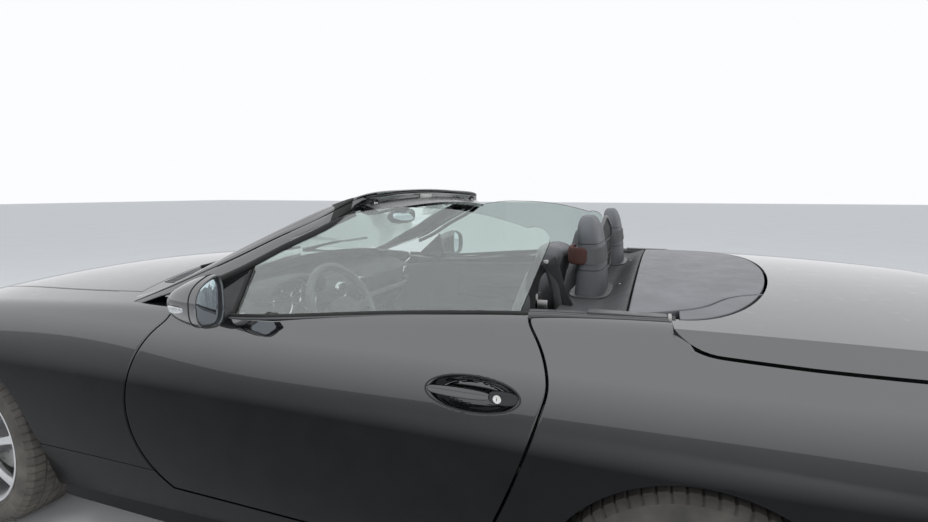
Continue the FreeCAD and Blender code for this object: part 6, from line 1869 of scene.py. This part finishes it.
def off_bonnet(points):
    """Distance outside the bonnet's outline from above, less the shut line."""
    side = np.interp(points[:, 0], side_edge[:, 0], side_edge[:, 1])
    nose = np.interp(points[:, 1], nose_line[::-1, 1], nose_line[::-1, 0])
    return np.where(points[:, 0] > BONNET_NOSE, points[:, 1] - side, nose - points[:, 0]) - LAMP_GAP


head_arm = lamp_edge(*HEAD_AT, 0.146, 0.064, math.radians(14),
                     lambda p: np.minimum(off_bonnet(p), HEADLAMP_TOP - p[:, 2]), HEAD_SPAN)
lamp("headlamp", *HEAD_AT, head_arm, HEAD_SPAN, "lamp_glass", "gloss_trim",
     mm((-62, 16, 36, 12), (28, -6, 40, 40), (88, -22, 17, 80)), 0.055, "lamp", "headlamps")
tail_arm = lamp_edge(*TAIL_AT, 0.142, 0.069, math.radians(10), lambda p: TAIL_LAMP_TOP - p[:, 2],
                     TAIL_LAMP_SPAN)
lamp("tail_lamp", *TAIL_AT, tail_arm, TAIL_LAMP_SPAN, "tail_glass", "clear_lens",
     mm((-72, 14, 30, 12), (4, 0, 32, 30), (78, -14, 26, 70)), 0.040, "tail_lamp", "tail_lamps")
cut_hole("quarter_skin", *TAIL_AT, tail_arm, 1.60, 2.10)
print("lamps ready")

# %% [markdown]
# ## Grille, plates and exhaust
# The grille and the intake keep their slats and get a rolled edge and a net behind. The
# number plates are bare. The two exhaust ends are polished rings.

# %% Grille edges, blank plates and exhaust ends
NOSE_SPAN = (-2.0405, -1.6)


def mouth_line(half, low, tall):
    """A rounded opening on the nose, as points on the skin from the right to the left."""
    line = eased([(half, low), (half, low + tall), (-half, low + tall), (-half, low)], 0.03, 8)
    line = np.vstack([straight(a, b, 14)[:-1] for a, b in zip(line, np.roll(line, -1, axis=0))])
    points, normal = skin(end_spots(np.maximum(np.abs(line[:, 0]), 0.01), line[:, 1], *NOSE_SPAN))
    points[:, 1] = line[:, 0]
    normal[:, 1] *= np.sign(line[:, 0])
    return points, normal


for name, half, low, tall in (("grille", 0.328, 0.450, 0.108), ("intake", 0.378, 0.302, 0.086)):
    edge, lean = mouth_line(half, low, tall)
    single(name + "_edge", sweep(edge - lean * 0.002, oval(0.0055, 0.0055, 2.6, 8), closed=True),
           "gloss_trim")
for name, low, tall, half in (("grille_net", 0.455, 0.098, 0.322),
                              ("intake_net", 0.307, 0.076, 0.372)):
    net_y = np.linspace(-half, half, 41)
    spots = end_spots(np.maximum(np.abs(net_y), 0.01), np.full(41, low + tall / 2), *NOSE_SPAN)
    net_x = body(*spots.T)[:, 0] + 0.075
    net = np.stack([np.column_stack([net_x, net_y, np.full(41, h)])
                    for h in np.linspace(low, low + tall, 6)])
    single(name, shell(net, 0.004, 0.001, normal=(-1, 0, 0)), "mesh")
plate_back = block((1.990, -0.268, 0.452), (2.034, 0.268, 0.572), 0.004)
plate_face = block((2.033, -0.260, 0.458), (2.0365, 0.260, 0.566), 0.0016)
single("rear_plate_holder", plate_back, "black_plastic")
single("rear_plate", plate_face, "plate_white")
screws = [turned(mm((0.5, 2.2), (4.5, 2), (5.8, 0.6), (5.8, -2)), (2.0365, y, 0.512), (1, 0, 0), 20)
          for y in (-0.19, 0.19)]
single("plate_screws", merged(*screws), "steel")
tip = turned(mm((36.5, -90), (38.5, -60), (39.5, 4), (38.5, 8), (36, 8), (34.5, 4), (34.2, -60),
                (34.5, -90)), (2.020, 0.336, 0.270), (1, 0, 0), 56, closed=True)
twin("exhaust_tip", tip, "bright_steel")
print("ends ready")

# %% [markdown]
# ## Arches, floor and engine
# Every wheel arch ends in a rolled lip. Carpet covers the cabin floor, and a ribbed cover
# with its filler cap and hoses lies on the engine.

# %% Arch lips, carpet and engine cover
for end, x, radius, start, stop in (("front", FRONT, ARCH_FRONT, 158, 20),
                                    ("rear", REAR, ARCH_REAR, 160, 3)):
    circle = arch_points(x, radius + 0.001, start, stop, 120)
    points, normal = skin(at_height(circle[:, 0], circle[:, 1]))
    twin("arch_lip_" + end, sweep(points - normal * 0.0065, oval(0.0035, 0.0060, 2.4, 14),
                                  up=(0, 1, 0)), "paint")
mat = eased(mm((-500, 130), (120, 130), (120, 600), (-500, 600)), 0.04)
twin("floor_mat", plate(mat, 0.1955, 0.2035, 0.003, top_spot), "carpet")
cover = block((-1.235, -0.200, 0.750), (-0.685, 0.200, 0.792), 0.014, 6)
ribs = [block((-1.190, y - 0.006, 0.788), (-0.730, y + 0.006, 0.797), 0.003, 3)
        for y in np.linspace(-0.15, 0.15, 7)]
single("engine_cover", merged(cover, *ribs), "black_plastic")
filler = turned(mm((0.5, 20), (18, 19), (24, 15), (24, 4), (28, 0), (28, -20), (0.5, -21)),
                (-1.150, 0.120, 0.797), (0, 0, 1), 40)
single("oil_cap", filler, "gloss_trim")
hoses = (mm((-1200, -210, 660), (-1280, -280, 700), (-1400, -240, 660), (-1500, -200, 580)),
         mm((-1000, 230, 620), (-1000, 340, 680), (-1120, 420, 660), (-1300, 400, 580)))
for number, spots in enumerate(hoses):
    single("engine_hose_%d" % number, sweep(curve(spots, 40), oval(0.022, 0.022, 2, 24)), "rubber")
print("arches, carpet and engine ready")

# %% Print the scene's size
low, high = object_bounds()
print("the scene's box is", np.round(np.subtract(high, low), 3).tolist(), "metres")
